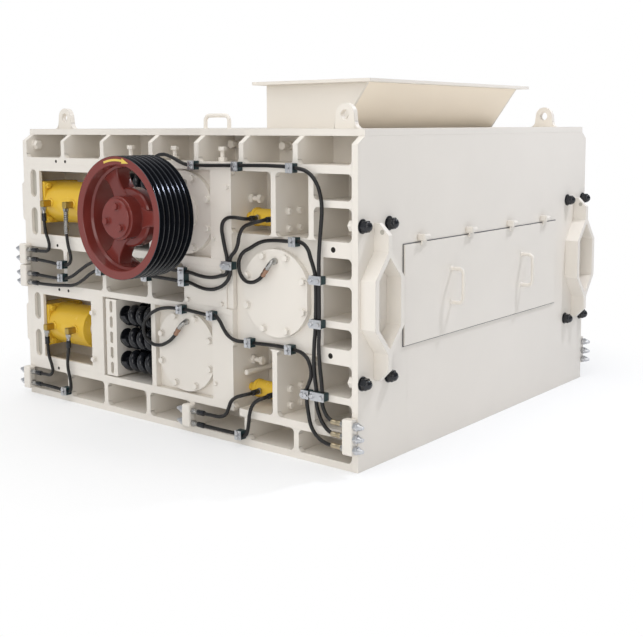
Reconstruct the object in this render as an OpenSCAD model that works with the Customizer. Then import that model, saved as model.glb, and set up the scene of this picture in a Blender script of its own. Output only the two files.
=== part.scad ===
// Three-roll crusher in a ribbed steel housing: a fixed middle roll against two rolls in sliding bearings.
// The front faces -Y, the fixed roll and the inspection door are on +X, and the feed hopper is on top.

/* [Housing] */
// Thickness of the side plates
wall_t = 30; // [16:1:36]
// Thickness of the deck plate
deck_t = 28; // [12:1:36]
// Distance from the rib edges back to the edge of the deck
deck_setback = 45; // [20:1:70]
// Height of the sloped corner at the top of the ribs and side plates
rib_chamfer = 30; // [15:1:50]
// Depth of the open pockets in the end frames
pocket_d = 228; // [216:1:260]
// Thickness of the plate that closes the pockets from behind
back_t = 30; // [16:1:40]
// Thickness of the upright ribs
rib_t = 26; // [16:1:34]
// Thickness of the long shelves
shelf_t = 34; // [20:1:40]
// Thickness of the bottom flange that stands on the floor
base_t = 30; // [20:1:40]
// Thickness of the small shelves beside the door end
step_t = 28; // [16:1:34]
// Width of the stacked pockets between the fixed bearing and the door end
column_w = 162; // [140:1:190]

/* [Rolls] */
// Diameter of each crushing roll
roll_d = 600; // [560:1:610]
// Length of each crushing roll
roll_len = 1380; // [1200:1:1600]
// Gap between the fixed roll and each sliding roll
roll_gap = 11; // [8:1:20]
// Height between the axes of the two sliding rolls
roll_stage = 616; // [612:1:640]
// Clearance between the lower roll and the floor
floor_clear = 62; // [40:1:90]
// Clearance between the upper roll and the deck
top_clear = 34; // [20:1:60]
// Clearance between the rolls and the end frames
roll_side_clear = 55; // [20:1:90]
// Diameter of the roll journals
journal_d = 150; // [120:1:170]
// Diameter of the driven shaft end
drive_d = 120; // [90:1:140]
// Radial running clearance of journals and rods
running_fit = 0.05; // [0.02:0.01:0.1]

/* [Bearings] */
// Height of the guide opening that holds each sliding bearing
guide_h = 378; // [360:1:384]
// Length of the sliding bearing block on the spring side of its axis
block_spring_side = 216; // [205:1:225]
// Length of the sliding bearing block on the stop side of its axis
block_stop_side = 165; // [160:1:180]
// Width of the raised strip where the springs press on the block
block_strip_w = 28; // [15:1:30]
// Sliding clearance above and below the blocks
slide_clear = 0.5; // [0.3:0.1:0.9]
// Travel of each sliding roll away from the fixed roll
carriage_travel = 15; // [5:1:15]
// Least clearance that moving pieces keep
move_clear = 6; // [5:1:8]
// Width of the stop column behind each sliding bearing
stop_w = 122; // [80:1:140]
// Length of the fixed bearing block on the door side of its axis
fixed_half_w = 235; // [220:1:250]
// Height of the fixed bearing block
fixed_block_h = 468; // [430:1:480]
// Distance from the bearing covers to the shelves over and under them
cover_edge = 6; // [6:1:19]
// Thickness of the bearing covers
cover_t = 24; // [15:1:24]
// Distance from the front plane back to the bearing blocks
block_setback = 30; // [25:1:40]

/* [Springs and cylinders] */
// Length of the springs between the yoke and the block
spring_len = 239; // [190:1:250]
// Gap between one row of springs and the next
spring_clear = 5.5; // [3.5:0.5:20]
// Depth of one coil of a spring
spring_wire = 24; // [14:1:28]
// Width of the slotted yoke that carries the springs
yoke_w = 75; // [60:1:105]
// Outside diameter of the main cylinders
cylinder_d = 204; // [150:1:206]
// Length of the main cylinders
cylinder_len = 430; // [380:1:440]
// Side of the square flange of the main cylinders
cylinder_flange = 206; // [200:1:208]
// Thickness of that flange
cylinder_flange_t = 36; // [20:1:45]
// Diameter of the main cylinder rods
rod_d = 110; // [80:1:120]
// Depth that the rods reach into the cylinders at rest
rod_engage = 70; // [50:1:90]
// Diameter of the small return cylinders
return_d = 74; // [50:1:90]
// Length of the small return cylinders
return_len = 186; // [120:1:200]
// Diameter of the rods of the return cylinders
return_rod_d = 36; // [20:1:45]

/* [Cylinder bays] */
// Thickness of the bay plates
bay_t = 16; // [10:1:18]
// Width of the bay window
window_w = 368; // [340:1:380]
// Height of the plates over and under the bay window
bay_rail_h = 32; // [24:1:49]
// Width of the plate between the window and the side plate
bay_post_w = 95; // [85:1:105]
// Width of the plate on the spring side of the window
bay_jamb_w = 87; // [80:1:90]
// Width of the upright slots beside the window
slot_w = 48; // [30:1:56]
// Height of the plate left over and under each upright slot
slot_edge = 26.5; // [22:0.5:40]

/* [Pulleys] */
// Outside diameter of the belt pulleys
pulley_d = 510; // [450:1:560]
// Width of the belt pulleys
pulley_w = 189; // [150:1:200]
// Distance from the front plane to the outer side of the pulley rim
pulley_out = 369; // [350:1:390]
// Depth of the pulley rim
rim_depth = 35; // [28:1:45]
// Number of belt grooves
groove_count = 7; // [5:1:8]
// Depth of the belt grooves
groove_depth = 18; // [12:1:20]
// Radius of the pulley hub
hub_r = 91; // [80:1:110]
// Length of the pulley hub
hub_len = 200; // [190:1:220]
// Distance that the hub stands out of the rim
hub_proud = 10; // [4:1:14]
// Number of pulley spokes
spoke_count = 3; // [3:1:5]
// Width of the pulley spokes
spoke_w = 88; // [60:1:110]
// Thickness of the pulley spokes
spoke_t = 72; // [40:1:90]
// Radius of the web that joins the spokes round the hub
web_r = 122; // [112:1:140]

/* [Door] */
// Width of the inspection door
door_w = 1357; // [1300:1:1380]
// Height of the inspection door
door_h = 416; // [400:1:430]
// Thickness of the inspection door
door_t = 20; // [12:1:22]
// Height of the lower edge of the door
door_z = 456; // [440:1:480]
// Distance of the door's middle from the middle of the housing, towards the front
door_shift = 18; // [0:1:30]
// Distance that the door laps over its opening
door_lap = 36; // [20:1:45]
// Gap between the door and the wall
door_gap = 1; // [0.5:0.1:2]
// Diameter of the hinge pins
hinge_pin_d = 16; // [10:1:20]
// Distance from the wall to the hinge pins
hinge_out = 24; // [22:1:28]
// Diameter of the door handles' bar
handle_bar_d = 14; // [10:1:18]
// Height of the door handles
handle_h = 166; // [140:1:200]
// Distance that the door handles stand out of the door
handle_reach = 48; // [35:1:49]

/* [Hopper] */
// Distance from the axis of the fixed roll to the upright hopper wall
hopper_offset = 336; // [300:1:350]
// Width of the hopper at the deck
hopper_w = 393; // [350:1:420]
// Width that the sloped hopper wall gains up to the rim
hopper_flare = 140; // [100:1:170]
// Length of the hopper along the rolls
hopper_len = 1262; // [1100:1:1340]
// Height of the hopper over the deck
hopper_h = 205; // [150:1:260]
// Thickness of the hopper walls
hopper_t = 12; // [8:1:16]
// Width of the hopper rim
rim_w = 58; // [40:1:70]
// Thickness of the hopper rim
rim_t = 14; // [8:1:20]

/* [Outside fittings] */
// Distance that the anchor pads stand out of the far side plate
pad_out = 40; // [30:1:55]
// Height of the anchor pads
pad_h = 226; // [200:1:250]
// Distance that the stiffening brackets stand out of the near side plate
bracket_out = 70; // [70:1:90]
// Thickness of the stiffening brackets
bracket_t = 25; // [16:1:28]
// Half width of the bracket's hexagonal opening
bracket_half_w = 74; // [60:1:80]
// Height of the bracket's upright sides
bracket_side_h = 190; // [150:1:220]
// Height of the bracket's opening from point to point
bracket_hex_h = 360; // [320:1:380]
// Height of the whole bracket
bracket_h = 622; // [580:1:640]
// Height of the lifting lugs
lug_h = 101; // [60:1:115]
// Width of the lifting lugs
lug_w = 105; // [70:1:120]
// Thickness of the lifting lugs
lug_t = 25; // [15:1:35]
// Diameter of the eye of a lifting lug
lug_eye_d = 40; // [20:1:45]
// Distance between the door and the brackets
bracket_door_gap = 90.5; // [60:0.5:120]
// Distance from the brackets to the edge of the side plate
bracket_edge = 18; // [10:1:40]

/* [Hoses] */
// Diameter of the hoses
hose_d = 16; // [12:1:18]
// Length of a hose clamp along its hose
clamp_l = 40; // [25:1:40]
// Width of a hose clamp across one hose
clamp_w = 46; // [30:1:46]
// Distance that the hose clamps and bulkhead blocks stand out of the frame
clamp_out = 40; // [34:1:44]
// Clearance of a hose in its clamp
clamp_clear = 0.3; // [0.1:0.1:0.6]
// Thickness of the bulkhead blocks along the hoses
bulkhead_t = 50; // [44:1:56]

/* [Hidden] */
$fn = 48;
// Overrun of every cut
over = 1;
// Heights, counted up from the floor
mid_z = floor_clear + roll_d / 2 + roll_stage / 2;
up_z = mid_z + roll_stage / 2;
low_z = mid_z - roll_stage / 2;
slide_zs = [up_z, low_z];
deck_z = up_z + roll_d / 2 + top_clear;
housing_h = deck_z + deck_t;
// Depth over the rib edges, long enough for the rolls and for the door between its brackets
bracket_y = door_w / 2 + door_shift + bracket_door_gap + bracket_half_w + bracket_t;
bracket_depth = 2 * (bracket_y + bracket_half_w + bracket_t + bracket_edge);
housing_d = max(roll_len + 2 * (roll_side_clear + back_t + pocket_d), bracket_depth);
front_y = -housing_d / 2;
back_y = front_y + pocket_d;
inner_y = back_y + back_t;
// Chain of pieces along each sliding bearing, from the far side plate to the near one
bay_w = bay_post_w + window_w + bay_jamb_w;
roll_offset = wall_t + bay_w + carriage_travel + move_clear + yoke_w + spring_len + block_spring_side;
roll_step = sqrt(pow(roll_d + roll_gap, 2) - pow(roll_stage / 2, 2));
housing_w = roll_offset + roll_step + fixed_half_w + column_w + wall_t;
// Overall width, which places the housing so that the origin is in the middle of everything
overall_w = pad_out + housing_w + bracket_out;
left_x = -overall_w / 2 + pad_out;
right_x = left_x + housing_w;
inner_left = left_x + wall_t;
inner_right = right_x - wall_t;
inner_w = inner_right - inner_left;
window_left = inner_left + bay_post_w;
bay_right = inner_left + bay_w;
cylinder_end = inner_left + cylinder_len;
yoke_left = bay_right + carriage_travel + move_clear;
yoke_right = yoke_left + yoke_w;
block_left = yoke_right + spring_len;
roll_x = left_x + roll_offset;
stop_x = roll_x + block_stop_side + move_clear;
fixed_left = stop_x + stop_w;
fixed_x = roll_x + roll_step;
fixed_right = fixed_x + fixed_half_w;
fixed_low = mid_z - fixed_block_h / 2;
fixed_top = mid_z + fixed_block_h / 2;
block_y = front_y + block_setback;
block_depth = pocket_d - block_setback - move_clear;
block_h = guide_h - 2 * slide_clear;
cover_r = guide_h / 2 - cover_edge;
window_h = guide_h - 2 * bay_rail_h;
slot_h = guide_h / 2 - 2 * slot_edge;
cylinder_y = front_y + bay_t + (pocket_d - bay_t) / 2;
// Springs in rows and layers, as thick as the guide's height and the pocket's depth leave room for
spring_rows = 3;
spring_layers = 2;
spring_coils = 4;
spring_inset = 8;
spring_row_gap = 14;
spring_layer_gap = 10;
spring_row_pitch = guide_h / (spring_rows + 1) + spring_row_gap;
spring_layer_room = (pocket_d - move_clear - spring_inset - spring_layer_gap) / spring_layers;
spring_d = min(spring_row_pitch - spring_clear, spring_layer_room);
// Heights of the long shelves
low_shelf_top = low_z - guide_h / 2;
low_rail_z = low_z + guide_h / 2;
up_shelf_top = up_z - guide_h / 2;
top_rail_z = up_z + guide_h / 2;
right_shelf_drop = 16;
right_shelf_top = low_shelf_top - right_shelf_drop;
// Places of the ribs across the inside of the housing, and of the small shelves up the door end
top_rib_shares = [0.140, 0.283, 0.447, 0.589, 0.718, 0.862];
middle_rib_shares = [0.138, 0.280, 0.435];
bottom_rib_shares = [0.140, 0.276, 0.422, 0.564, 0.725, 0.860];
step_shares = [0.783, 0.556, 0.430, 0.2075];
pad_step_shares = [0.651, 0.336];
pad_step_t = 64;
fixed_rib_out = 197;
return_share = 0.245;
junction_w = 257;
junction_t = 30;
stop_gap = 33;
// Sizes of small features
shaft_hole_r = journal_d / 2 + carriage_travel + move_clear;
seal_clear = 1;
cover_flat_share = 0.93;
yoke_slot_w = 20;
yoke_slot_h = 56;
yoke_slot_depth = 60;
yoke_slot_count = 5;
yoke_clear = 6;
hub_step = 2;
web_step = 6;
groove_land_share = 0.12;
groove_root_share = 0.32;
door_y = -door_shift;
opening_w = door_w - 2 * door_lap;
hinge_shares = [-0.415, -0.133, 0.141, 0.388];
hinge_rise = 23;
hinge_z = door_z + door_h + hinge_rise;
hinge_x = right_x + hinge_out;
knuckle_r = 14;
knuckle_w = 40;
lug_plate_w = 18;
lug_plate_h = 44;
hinge_side_gap = 0.4;
handle_shares = [-0.235, 0.235];
pad_w = 210;
pad_chamfer = 26;
bracket_drop = 6;
bracket_z = mid_z - bracket_drop;
bracket_point = 37.5;
bracket_corner = 45;
hopper_left = fixed_x - hopper_offset;
hopper_right = hopper_left + hopper_w;
hopper_top = housing_h + hopper_h - rim_t;
lug_top_share = 0.55;
lug_x_in = 165;
lug_y_in = 159;
handle_back = 163;
handle_x = hopper_left - handle_back;
deck_handle_w = 160;
deck_handle_h = 66;
deck_handle_d = 14;
handle_past = 2;
deck_handle_in = 120;
deck_handle_y = front_y + deck_handle_in;

// Hoses of the front end: each hose has its own points, from where it starts to where it ends
upper_grease_hose = [
    [86, -998, 1110], [86, -1011, 1110], [81, -1021, 1104], [62, -1023, 1085], [20, -1023, 1060],
    [-40, -1023, 1052], [-90, -1023, 1076], [-115, -1023, 1125], [-105, -1023, 1180], [-65, -1023, 1219],
    [-15, -1023, 1229], [40, -1023, 1216], [100, -1023, 1194], [140, -1023, 1186], [740, -1023, 1186],
    [800, -1023, 1170], [840, -1023, 1132], [862, -1023, 1080], [868, -1023, 1030], [864, -1023, 970],
    [857, -1023, 900], [852, -1023, 830], [852, -1023, 775], [852, -1023, 550], [850, -1023, 480],
    [856, -1023, 400], [866, -1023, 315], [866, -1023, 262], [877, -1023, 230], [900, -1023, 203],
    [935, -1023, 193], [976, -1023, 193]];
middle_grease_hose = [
    [605, -998, 804], [605, -1011, 804], [600, -1021, 797], [580, -1023, 772], [556, -1023, 742],
    [528, -1023, 721], [490, -1023, 709], [456, -1023, 716], [432, -1023, 742], [420, -1018, 772],
    [417, -1010, 800], [430, -1003, 826], [466, -997, 848], [522, -993, 876], [584, -993, 887],
    [660, -993, 889], [735, -993, 889], [780, -1005, 868], [808, -1018, 830], [826, -1023, 795],
    [833, -1023, 772], [833, -1023, 550], [828, -1023, 500], [825, -1023, 430], [829, -1023, 360],
    [836, -1023, 312], [836, -1023, 262], [845, -1023, 225], [870, -1023, 178], [902, -1023, 151],
    [940, -1023, 144], [976, -1023, 144]];
lower_grease_hose = [
    [86, -998, 494], [86, -1011, 494], [81, -1021, 488], [60, -1023, 465], [30, -1023, 428],
    [-22, -1023, 390], [-82, -1023, 372], [-131, -1023, 380], [-168, -1023, 414], [-168, -1023, 456],
    [-140, -1023, 496], [-92, -1023, 528], [-30, -1023, 547], [45, -1023, 553], [110, -1023, 553],
    [235, -1023, 545], [287, -1023, 545], [310, -1023, 526], [330, -1023, 498], [356, -1020, 468],
    [384, -1010, 451], [425, -993, 446], [710, -993, 446], [765, -1007, 436], [800, -1020, 408],
    [810, -1023, 365], [797, -1023, 325], [788, -1023, 305], [788, -1023, 260], [796, -1023, 205],
    [813, -1023, 150], [850, -1023, 113], [895, -1023, 98], [976, -1023, 98]];
upper_port_hoses = [
    [[-878, -984, 978], [-878, -998, 978], [-878, -1014, 970], [-878, -1023, 950], [-878, -1023, 905],
     [-868, -1023, 835], [-850, -1023, 795], [-845, -1023, 768], [-858, -1023, 746], [-890, -1023, 741],
     [-1016, -1023, 741]],
    [[-706, -984, 978], [-706, -998, 978], [-706, -1014, 970], [-706, -1023, 950], [-707, -1023, 850],
     [-697, -1023, 780], [-682, -1023, 738], [-683, -1023, 708], [-702, -1023, 689], [-727, -1023, 684],
     [-775, -1023, 684], [-850, -1023, 690], [-950, -1023, 694], [-1016, -1023, 694]]];
lower_port_hoses = [
    [[-884, -984, 362], [-884, -998, 362], [-884, -1014, 354], [-884, -1023, 334], [-884, -1023, 285],
     [-875, -1023, 215], [-855, -1023, 170], [-850, -1023, 143], [-866, -1023, 122], [-905, -1023, 117],
     [-1016, -1023, 117]],
    [[-716, -984, 362], [-716, -998, 362], [-716, -1014, 354], [-716, -1023, 334], [-718, -1023, 275],
     [-730, -1023, 190], [-716, -1023, 125], [-710, -1023, 90], [-714, -1023, 66], [-727, -1023, 57],
     [-775, -1023, 57], [-850, -1023, 60], [-1016, -1023, 60]]];
upper_return_hoses = [
    [[450, -927, 968], [450, -985, 968], [445, -1005, 969], [428, -1018, 972], [400, -1023, 974],
     [362, -1023, 969], [338, -1023, 952], [330, -1023, 925], [336, -1023, 885], [347, -1023, 840],
     [357, -1023, 802], [357, -1023, 742], [348, -1023, 730], [320, -1023, 722], [280, -1023, 712],
     [240, -1023, 709], [190, -1023, 712], [135, -1023, 721], [115, -1023, 722], [-485, -1023, 722],
     [-535, -1023, 708], [-610, -1023, 670], [-680, -1023, 632], [-725, -1023, 620], [-1016, -1023, 620]],
    [[540, -927, 968], [540, -985, 968], [536, -1005, 965], [520, -1018, 960], [492, -1023, 952],
     [452, -1023, 934], [430, -1023, 900], [420, -1023, 862], [404, -1023, 832], [384, -1023, 813],
     [376, -1023, 799], [376, -1023, 742], [368, -1023, 720], [345, -1023, 692], [300, -1023, 667],
     [245, -1023, 657], [190, -1023, 662], [135, -1023, 675], [115, -1023, 677], [-485, -1023, 677],
     [-530, -1023, 661], [-595, -1023, 622], [-660, -1023, 593], [-742, -1023, 583], [-860, -1023, 576],
     [-1016, -1023, 576]]];
lower_return_hoses = [
    [[450, -927, 225], [450, -985, 225], [445, -1005, 224], [428, -1018, 219], [400, -1023, 208],
     [370, -1023, 185], [354, -1023, 152], [338, -1023, 124], [308, -1023, 109], [250, -1023, 105],
     [134, -1023, 105]],
    [[540, -927, 225], [540, -985, 225], [536, -1005, 222], [520, -1018, 214], [498, -1023, 195],
     [478, -1023, 155], [470, -1023, 110], [464, -1023, 78], [456, -1023, 58], [446, -1023, 50],
     [393, -1023, 50], [134, -1023, 50]]];
// Clamps on the front plane: place of the first hose, turn, and distance on to a second hose
clamps = [
    [165, 1186, 0, 0], [419, 1186, 0, 0], [714, 1186, 0, 0], [376, 770, 90, 19], [92, 677, 0, 45],
    [-147, 677, 0, 45], [-461, 677, 0, 45], [76, 553, 0, 0], [262, 545, 0, 0], [852, 750, 90, 19],
    [852, 576, 90, 19], [866, 285, 90, 30], [788, 285, 90, 0], [-748, 684, 0, 0], [-748, 620, 0, 0],
    [-748, 57, 0, 0], [420, 50, 0, 0]];
// Clamps on the fixed bearing block, across and up it
block_clamp_shares = [[0.185, 0.0214], [0.657, 0.0214], [0.713, 0.968]];
// Bulkhead blocks: where the hoses end, the side that the block lies on, and its lower and upper edge
bulkheads = [
    [-1016, -1, 667, 769], [-1016, -1, 554, 663], [-1016, -1, 30, 142], [134, -1, 32, 132],
    [976, 1, 75, 219]];
hose_sides = 8;

// Colours of the paint finishes
cream = [0.88, 0.85, 0.80];
yellow = [0.84, 0.66, 0.12];
red_brown = [0.50, 0.26, 0.22];
black = [0.10, 0.10, 0.11];
steel = [0.55, 0.55, 0.56];
rubber = [0.13, 0.12, 0.13];

// A box from one corner to the opposite one
module box(low, high) {
    translate(low) cube(high - low);
}

// The same piece at the front and, mirrored, at the rear
module both_ends() {
    children();
    mirror([0, 1, 0]) children();
}

// A round bar along Y between two places
module bar_y(x, z, y0, y1, r) {
    translate([x, y0, z]) rotate([-90, 0, 0]) cylinder(r = r, h = y1 - y0);
}

// A round bar along X between two places
module bar_x(y, z, x0, x1, r) {
    translate([x0, y, z]) rotate([0, 90, 0]) cylinder(r = r, h = x1 - x0);
}

// An upright plate in the Y-Z plane with its upper end corners sloped back under the deck
module side_profile(x, t, y0, y1, front_slope, rear_slope) {
    outline = [
        [y0, 0],
        [y1, 0],
        [y1, rear_slope ? deck_z - rib_chamfer : deck_z],
        [rear_slope ? y1 - deck_setback : y1, deck_z],
        [front_slope ? y0 + deck_setback : y0, deck_z],
        [y0, front_slope ? deck_z - rib_chamfer : deck_z],
    ];
    translate([x, 0, 0]) rotate([90, 0, 90]) linear_extrude(t) polygon(outline);
}

// Far side plate with the anchor pads of the main cylinders
module left_wall() {
    color(cream) {
        side_profile(left_x, wall_t, front_y, -front_y, true, true);
        both_ends() for (z = slide_zs) anchor_pad(z);
    }
}

module anchor_pad(z) {
    outline = [
        [0, -pad_h / 2],
        [pad_out, -pad_h / 2 + pad_chamfer],
        [pad_out, pad_h / 2 - pad_chamfer],
        [0, pad_h / 2],
    ];
    translate([left_x, cylinder_y + pad_w / 2, z]) rotate([90, 0, 0])
        linear_extrude(pad_w) mirror([1, 0]) polygon(outline);
}

// Near side plate, split round the inspection opening
module right_wall_posts() {
    color(cream) {
        side_profile(inner_right, wall_t, front_y, door_y - opening_w / 2, true, false);
        side_profile(inner_right, wall_t, door_y + opening_w / 2, -front_y, false, true);
    }
}

module right_wall_beams() {
    low_y = door_y - opening_w / 2;
    high_y = door_y + opening_w / 2;
    color(cream) {
        box([inner_right, low_y, 0], [right_x, high_y, door_z + door_lap]);
        box([inner_right, low_y, door_z + door_h - door_lap], [right_x, high_y, deck_z]);
    }
}

// Deck plate, split round the foot of the hopper
module deck_sides() {
    edge_y = front_y + deck_setback;
    color(cream) {
        box([left_x, edge_y, deck_z], [hopper_left, -edge_y, housing_h]);
        box([hopper_right, edge_y, deck_z], [right_x, -edge_y, housing_h]);
    }
}

module deck_ends() {
    edge_y = front_y + deck_setback;
    color(cream) both_ends()
        box([hopper_left, edge_y, deck_z], [hopper_right, -hopper_len / 2, housing_h]);
}

// Feed hopper: an upright wall, a sloped wall and two ends, under a flat rim
module hopper_sides() {
    slope = [
        [hopper_right, housing_h],
        [hopper_right + hopper_t, housing_h],
        [hopper_right + hopper_t + hopper_flare, hopper_top],
        [hopper_right + hopper_flare, hopper_top],
    ];
    color(cream) {
        box([hopper_left - hopper_t, -hopper_len / 2, housing_h],
            [hopper_left, hopper_len / 2, hopper_top]);
        translate([0, hopper_len / 2, 0]) rotate([90, 0, 0]) linear_extrude(hopper_len) polygon(slope);
    }
}

module hopper_ends() {
    face = [
        [hopper_left - hopper_t, housing_h],
        [hopper_right + hopper_t, housing_h],
        [hopper_right + hopper_t + hopper_flare, hopper_top],
        [hopper_left - hopper_t, hopper_top],
    ];
    color(cream) both_ends()
        translate([0, -hopper_len / 2, 0]) rotate([90, 0, 0]) linear_extrude(hopper_t) polygon(face);
}

module hopper_rim() {
    low = [hopper_left, -hopper_len / 2];
    high = [hopper_right + hopper_flare, hopper_len / 2];
    edge = [rim_w, rim_w];
    color(cream) translate([0, 0, hopper_top]) linear_extrude(rim_t) difference() {
        translate(low - edge) square(high - low + 2 * edge);
        translate(low) square(high - low);
    }
}

// Lifting lugs on the corners of the deck, each a plate with a round top and an eye
module lifting_lugs() {
    color(cream) both_ends() for (x = [left_x + lug_x_in, right_x - lug_x_in]) lifting_lug(x);
}

module lifting_lug(x) {
    eye_z = housing_h + lug_h * lug_top_share;
    top_r = lug_h - lug_h * lug_top_share;
    translate([x, front_y + lug_y_in, 0]) rotate([90, 0, 0]) linear_extrude(lug_t) difference() {
        union() {
            polygon([[-lug_w / 2, housing_h], [lug_w / 2, housing_h], [top_r, eye_z], [-top_r, eye_z]]);
            translate([0, eye_z]) circle(top_r);
        }
        translate([0, eye_z]) circle(d = lug_eye_d);
    }
}

// Bent bar handles on the deck
module deck_handles() {
    legs = [handle_x, handle_x + deck_handle_w - deck_handle_d];
    r = deck_handle_d / 2;
    top = deck_handle_h - r;
    color(cream) both_ends() translate([0, deck_handle_y, housing_h]) {
        for (x = legs) translate([x, 0, 0]) cylinder(r = r, h = top);
        bar_x(0, top, legs[0] - r - handle_past, legs[1] + r + handle_past, r);
    }
}

// Shelves of one end frame: the long ones, and the small ones stacked beside the door end
module end_shelves() {
    long = [
        [inner_left, inner_right, 0, base_t],
        [inner_left, fixed_left, low_shelf_top - shelf_t, low_shelf_top],
        [fixed_left + stop_gap, inner_right, right_shelf_top - shelf_t, right_shelf_top],
        [inner_left, fixed_left, low_rail_z, low_rail_z + step_t],
        [inner_left, fixed_left, up_shelf_top - shelf_t, up_shelf_top],
        [inner_left, inner_right, top_rail_z, top_rail_z + shelf_t],
    ];
    for (s = long) box([s[0], front_y, s[2]], [s[1], back_y, s[3]]);
    for (share = step_shares) step_shelf(share * housing_h, step_t);
    for (share = pad_step_shares) step_shelf(share * housing_h, pad_step_t);
}

module step_shelf(z, t) {
    beside_block = abs(z - mid_z) < fixed_block_h / 2 + t / 2;
    from_x = beside_block ? fixed_right : fixed_x + fixed_rib_out + rib_t / 2;
    box([from_x, front_y, z - t / 2], [inner_right, back_y, z + t / 2]);
}

module front_shelves() {
    color(cream) end_shelves();
}

module rear_shelves() {
    color(cream) mirror([0, 1, 0]) end_shelves();
}

// Upright ribs of one end frame
module end_ribs() {
    for (share = top_rib_shares) top_rib(inner_left + share * inner_w);
    for (share = middle_rib_shares)
        rib(inner_left + share * inner_w, low_rail_z + step_t, up_shelf_top - shelf_t);
    for (share = bottom_rib_shares) {
        x = inner_left + share * inner_w;
        rib(x, base_t, (x < fixed_left ? low_shelf_top : right_shelf_top) - shelf_t);
    }
    for (x = [fixed_x, fixed_x + fixed_rib_out]) {
        rib(x, right_shelf_top, fixed_low);
        rib(x, fixed_top, top_rail_z);
    }
    box([fixed_left - junction_w - stop_gap, front_y, low_rail_z + step_t],
        [fixed_left - stop_gap, front_y + junction_t, up_shelf_top - shelf_t]);
}

module rib(x, z0, z1) {
    box([x - rib_t / 2, front_y, z0], [x + rib_t / 2, back_y, z1]);
}

module top_rib(x) {
    outline = [
        [front_y, top_rail_z + shelf_t],
        [back_y, top_rail_z + shelf_t],
        [back_y, deck_z],
        [front_y + deck_setback, deck_z],
        [front_y, deck_z - rib_chamfer],
    ];
    translate([x - rib_t / 2, 0, 0]) rotate([90, 0, 90]) linear_extrude(rib_t) polygon(outline);
}

module front_ribs() {
    color(cream) end_ribs();
}

module rear_ribs() {
    color(cream) mirror([0, 1, 0]) end_ribs();
}

// Plate behind the pockets, with a hole for each shaft
module end_back_plate() {
    difference() {
        box([inner_left, back_y, 0], [inner_right, inner_y, deck_z]);
        for (z = slide_zs) bar_y(roll_x, z, back_y - over, inner_y + over, shaft_hole_r);
        bar_y(fixed_x, mid_z, back_y - over, inner_y + over, shaft_hole_r);
    }
}

module front_back_plate() {
    color(cream) end_back_plate();
}

module rear_back_plate() {
    color(cream) mirror([0, 1, 0]) end_back_plate();
}

// Plates that frame the window of each cylinder bay
module bay_posts() {
    color(cream) both_ends() for (z = slide_zs) {
        difference() {
            box([inner_left, front_y, z - guide_h / 2], [window_left, front_y + bay_t, z + guide_h / 2]);
            for (side = [-1, 1])
                translate([inner_left + bay_post_w / 2, front_y, z + side * guide_h / 4])
                    slot(slot_w, slot_h, bay_t);
        }
        box([window_left + window_w, front_y, z - guide_h / 2],
            [bay_right, front_y + bay_t, z + guide_h / 2]);
    }
}

// An upright slot with round ends, cut back from the front
module slot(w, h, depth) {
    straight = h - w;
    translate([0, -over, 0]) rotate([-90, 0, 0]) linear_extrude(depth + 2 * over) {
        square([w, straight], center = true);
        for (side = [-1, 1]) translate([0, side * straight / 2]) circle(d = w);
    }
}

module bay_rails() {
    color(cream) both_ends() for (z = slide_zs) for (side = [-1, 1]) {
        inner = side * window_h / 2;
        outer = side * guide_h / 2;
        box([window_left, front_y, z + min(inner, outer)],
            [window_left + window_w, front_y + bay_t, z + max(inner, outer)]);
    }
}

// Columns that stop the sliding bearings on the side of the fixed roll
module stop_columns() {
    color(cream) both_ends() for (z = slide_zs)
        box([stop_x, front_y, z - guide_h / 2], [fixed_left, back_y, z + guide_h / 2]);
}

// Fixed bearing blocks of the middle roll, with a running bore
module fixed_bearings() {
    color(cream) both_ends() difference() {
        box([fixed_left, block_y, fixed_low], [fixed_right, back_y, fixed_top]);
        bar_y(fixed_x, mid_z, block_y - over, back_y + over, journal_d / 2 + running_fit);
    }
}

// Round bearing cover with two flat sides; the driven one lets the shaft through
module cover(x, z, driven) {
    intersection() {
        difference() {
            bar_y(x, z, block_y - cover_t, block_y, cover_r);
            if (driven) bar_y(x, z, block_y - cover_t - over, block_y + over, drive_d / 2 + seal_clear);
        }
        flat = cover_r * cover_flat_share;
        box([x - flat, block_y - cover_t, z - cover_r], [x + flat, block_y, z + cover_r]);
    }
}

module covers(x, z, front_driven) {
    color(cream) {
        cover(x, z, front_driven);
        mirror([0, 1, 0]) cover(x, z, !front_driven);
    }
}

module fixed_covers() {
    covers(fixed_x, mid_z, false);
}

module upper_covers() {
    covers(roll_x, up_z, true);
}

module lower_covers() {
    covers(roll_x, low_z, false);
}

// Sliding bearing block with the raised strip that the springs press on
module sliding_block(z) {
    difference() {
        union() {
            box([block_left, block_y, z - block_h / 2],
                [roll_x + block_stop_side, block_y + block_depth, z + block_h / 2]);
            box([block_left, front_y, z - block_h / 2],
                [block_left + block_strip_w, block_y, z + block_h / 2]);
        }
        bar_y(roll_x, z, block_y - over, back_y + over, journal_d / 2 + running_fit);
    }
}

module upper_blocks() {
    color(cream) both_ends() sliding_block(up_z);
}

module lower_blocks() {
    color(cream) both_ends() sliding_block(low_z);
}

// Slotted yoke between the cylinder and the springs, with the cylinder rod in its back
module yoke(z) {
    half_h = guide_h / 2 - yoke_clear;
    pitch = 2 * half_h / yoke_slot_count;
    difference() {
        box([yoke_left, front_y, z - half_h], [yoke_right, block_y + block_depth, z + half_h]);
        for (i = [0:yoke_slot_count - 1])
            translate([(yoke_left + yoke_right) / 2, front_y, z - half_h + (i + 1 / 2) * pitch])
                slot(yoke_slot_w, yoke_slot_h, yoke_slot_depth);
    }
    bar_x(cylinder_y, z, cylinder_end - rod_engage, yoke_left, rod_d / 2);
}

module upper_yokes() {
    color(cream) both_ends() yoke(up_z);
}

module lower_yokes() {
    color(cream) both_ends() yoke(low_z);
}

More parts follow.
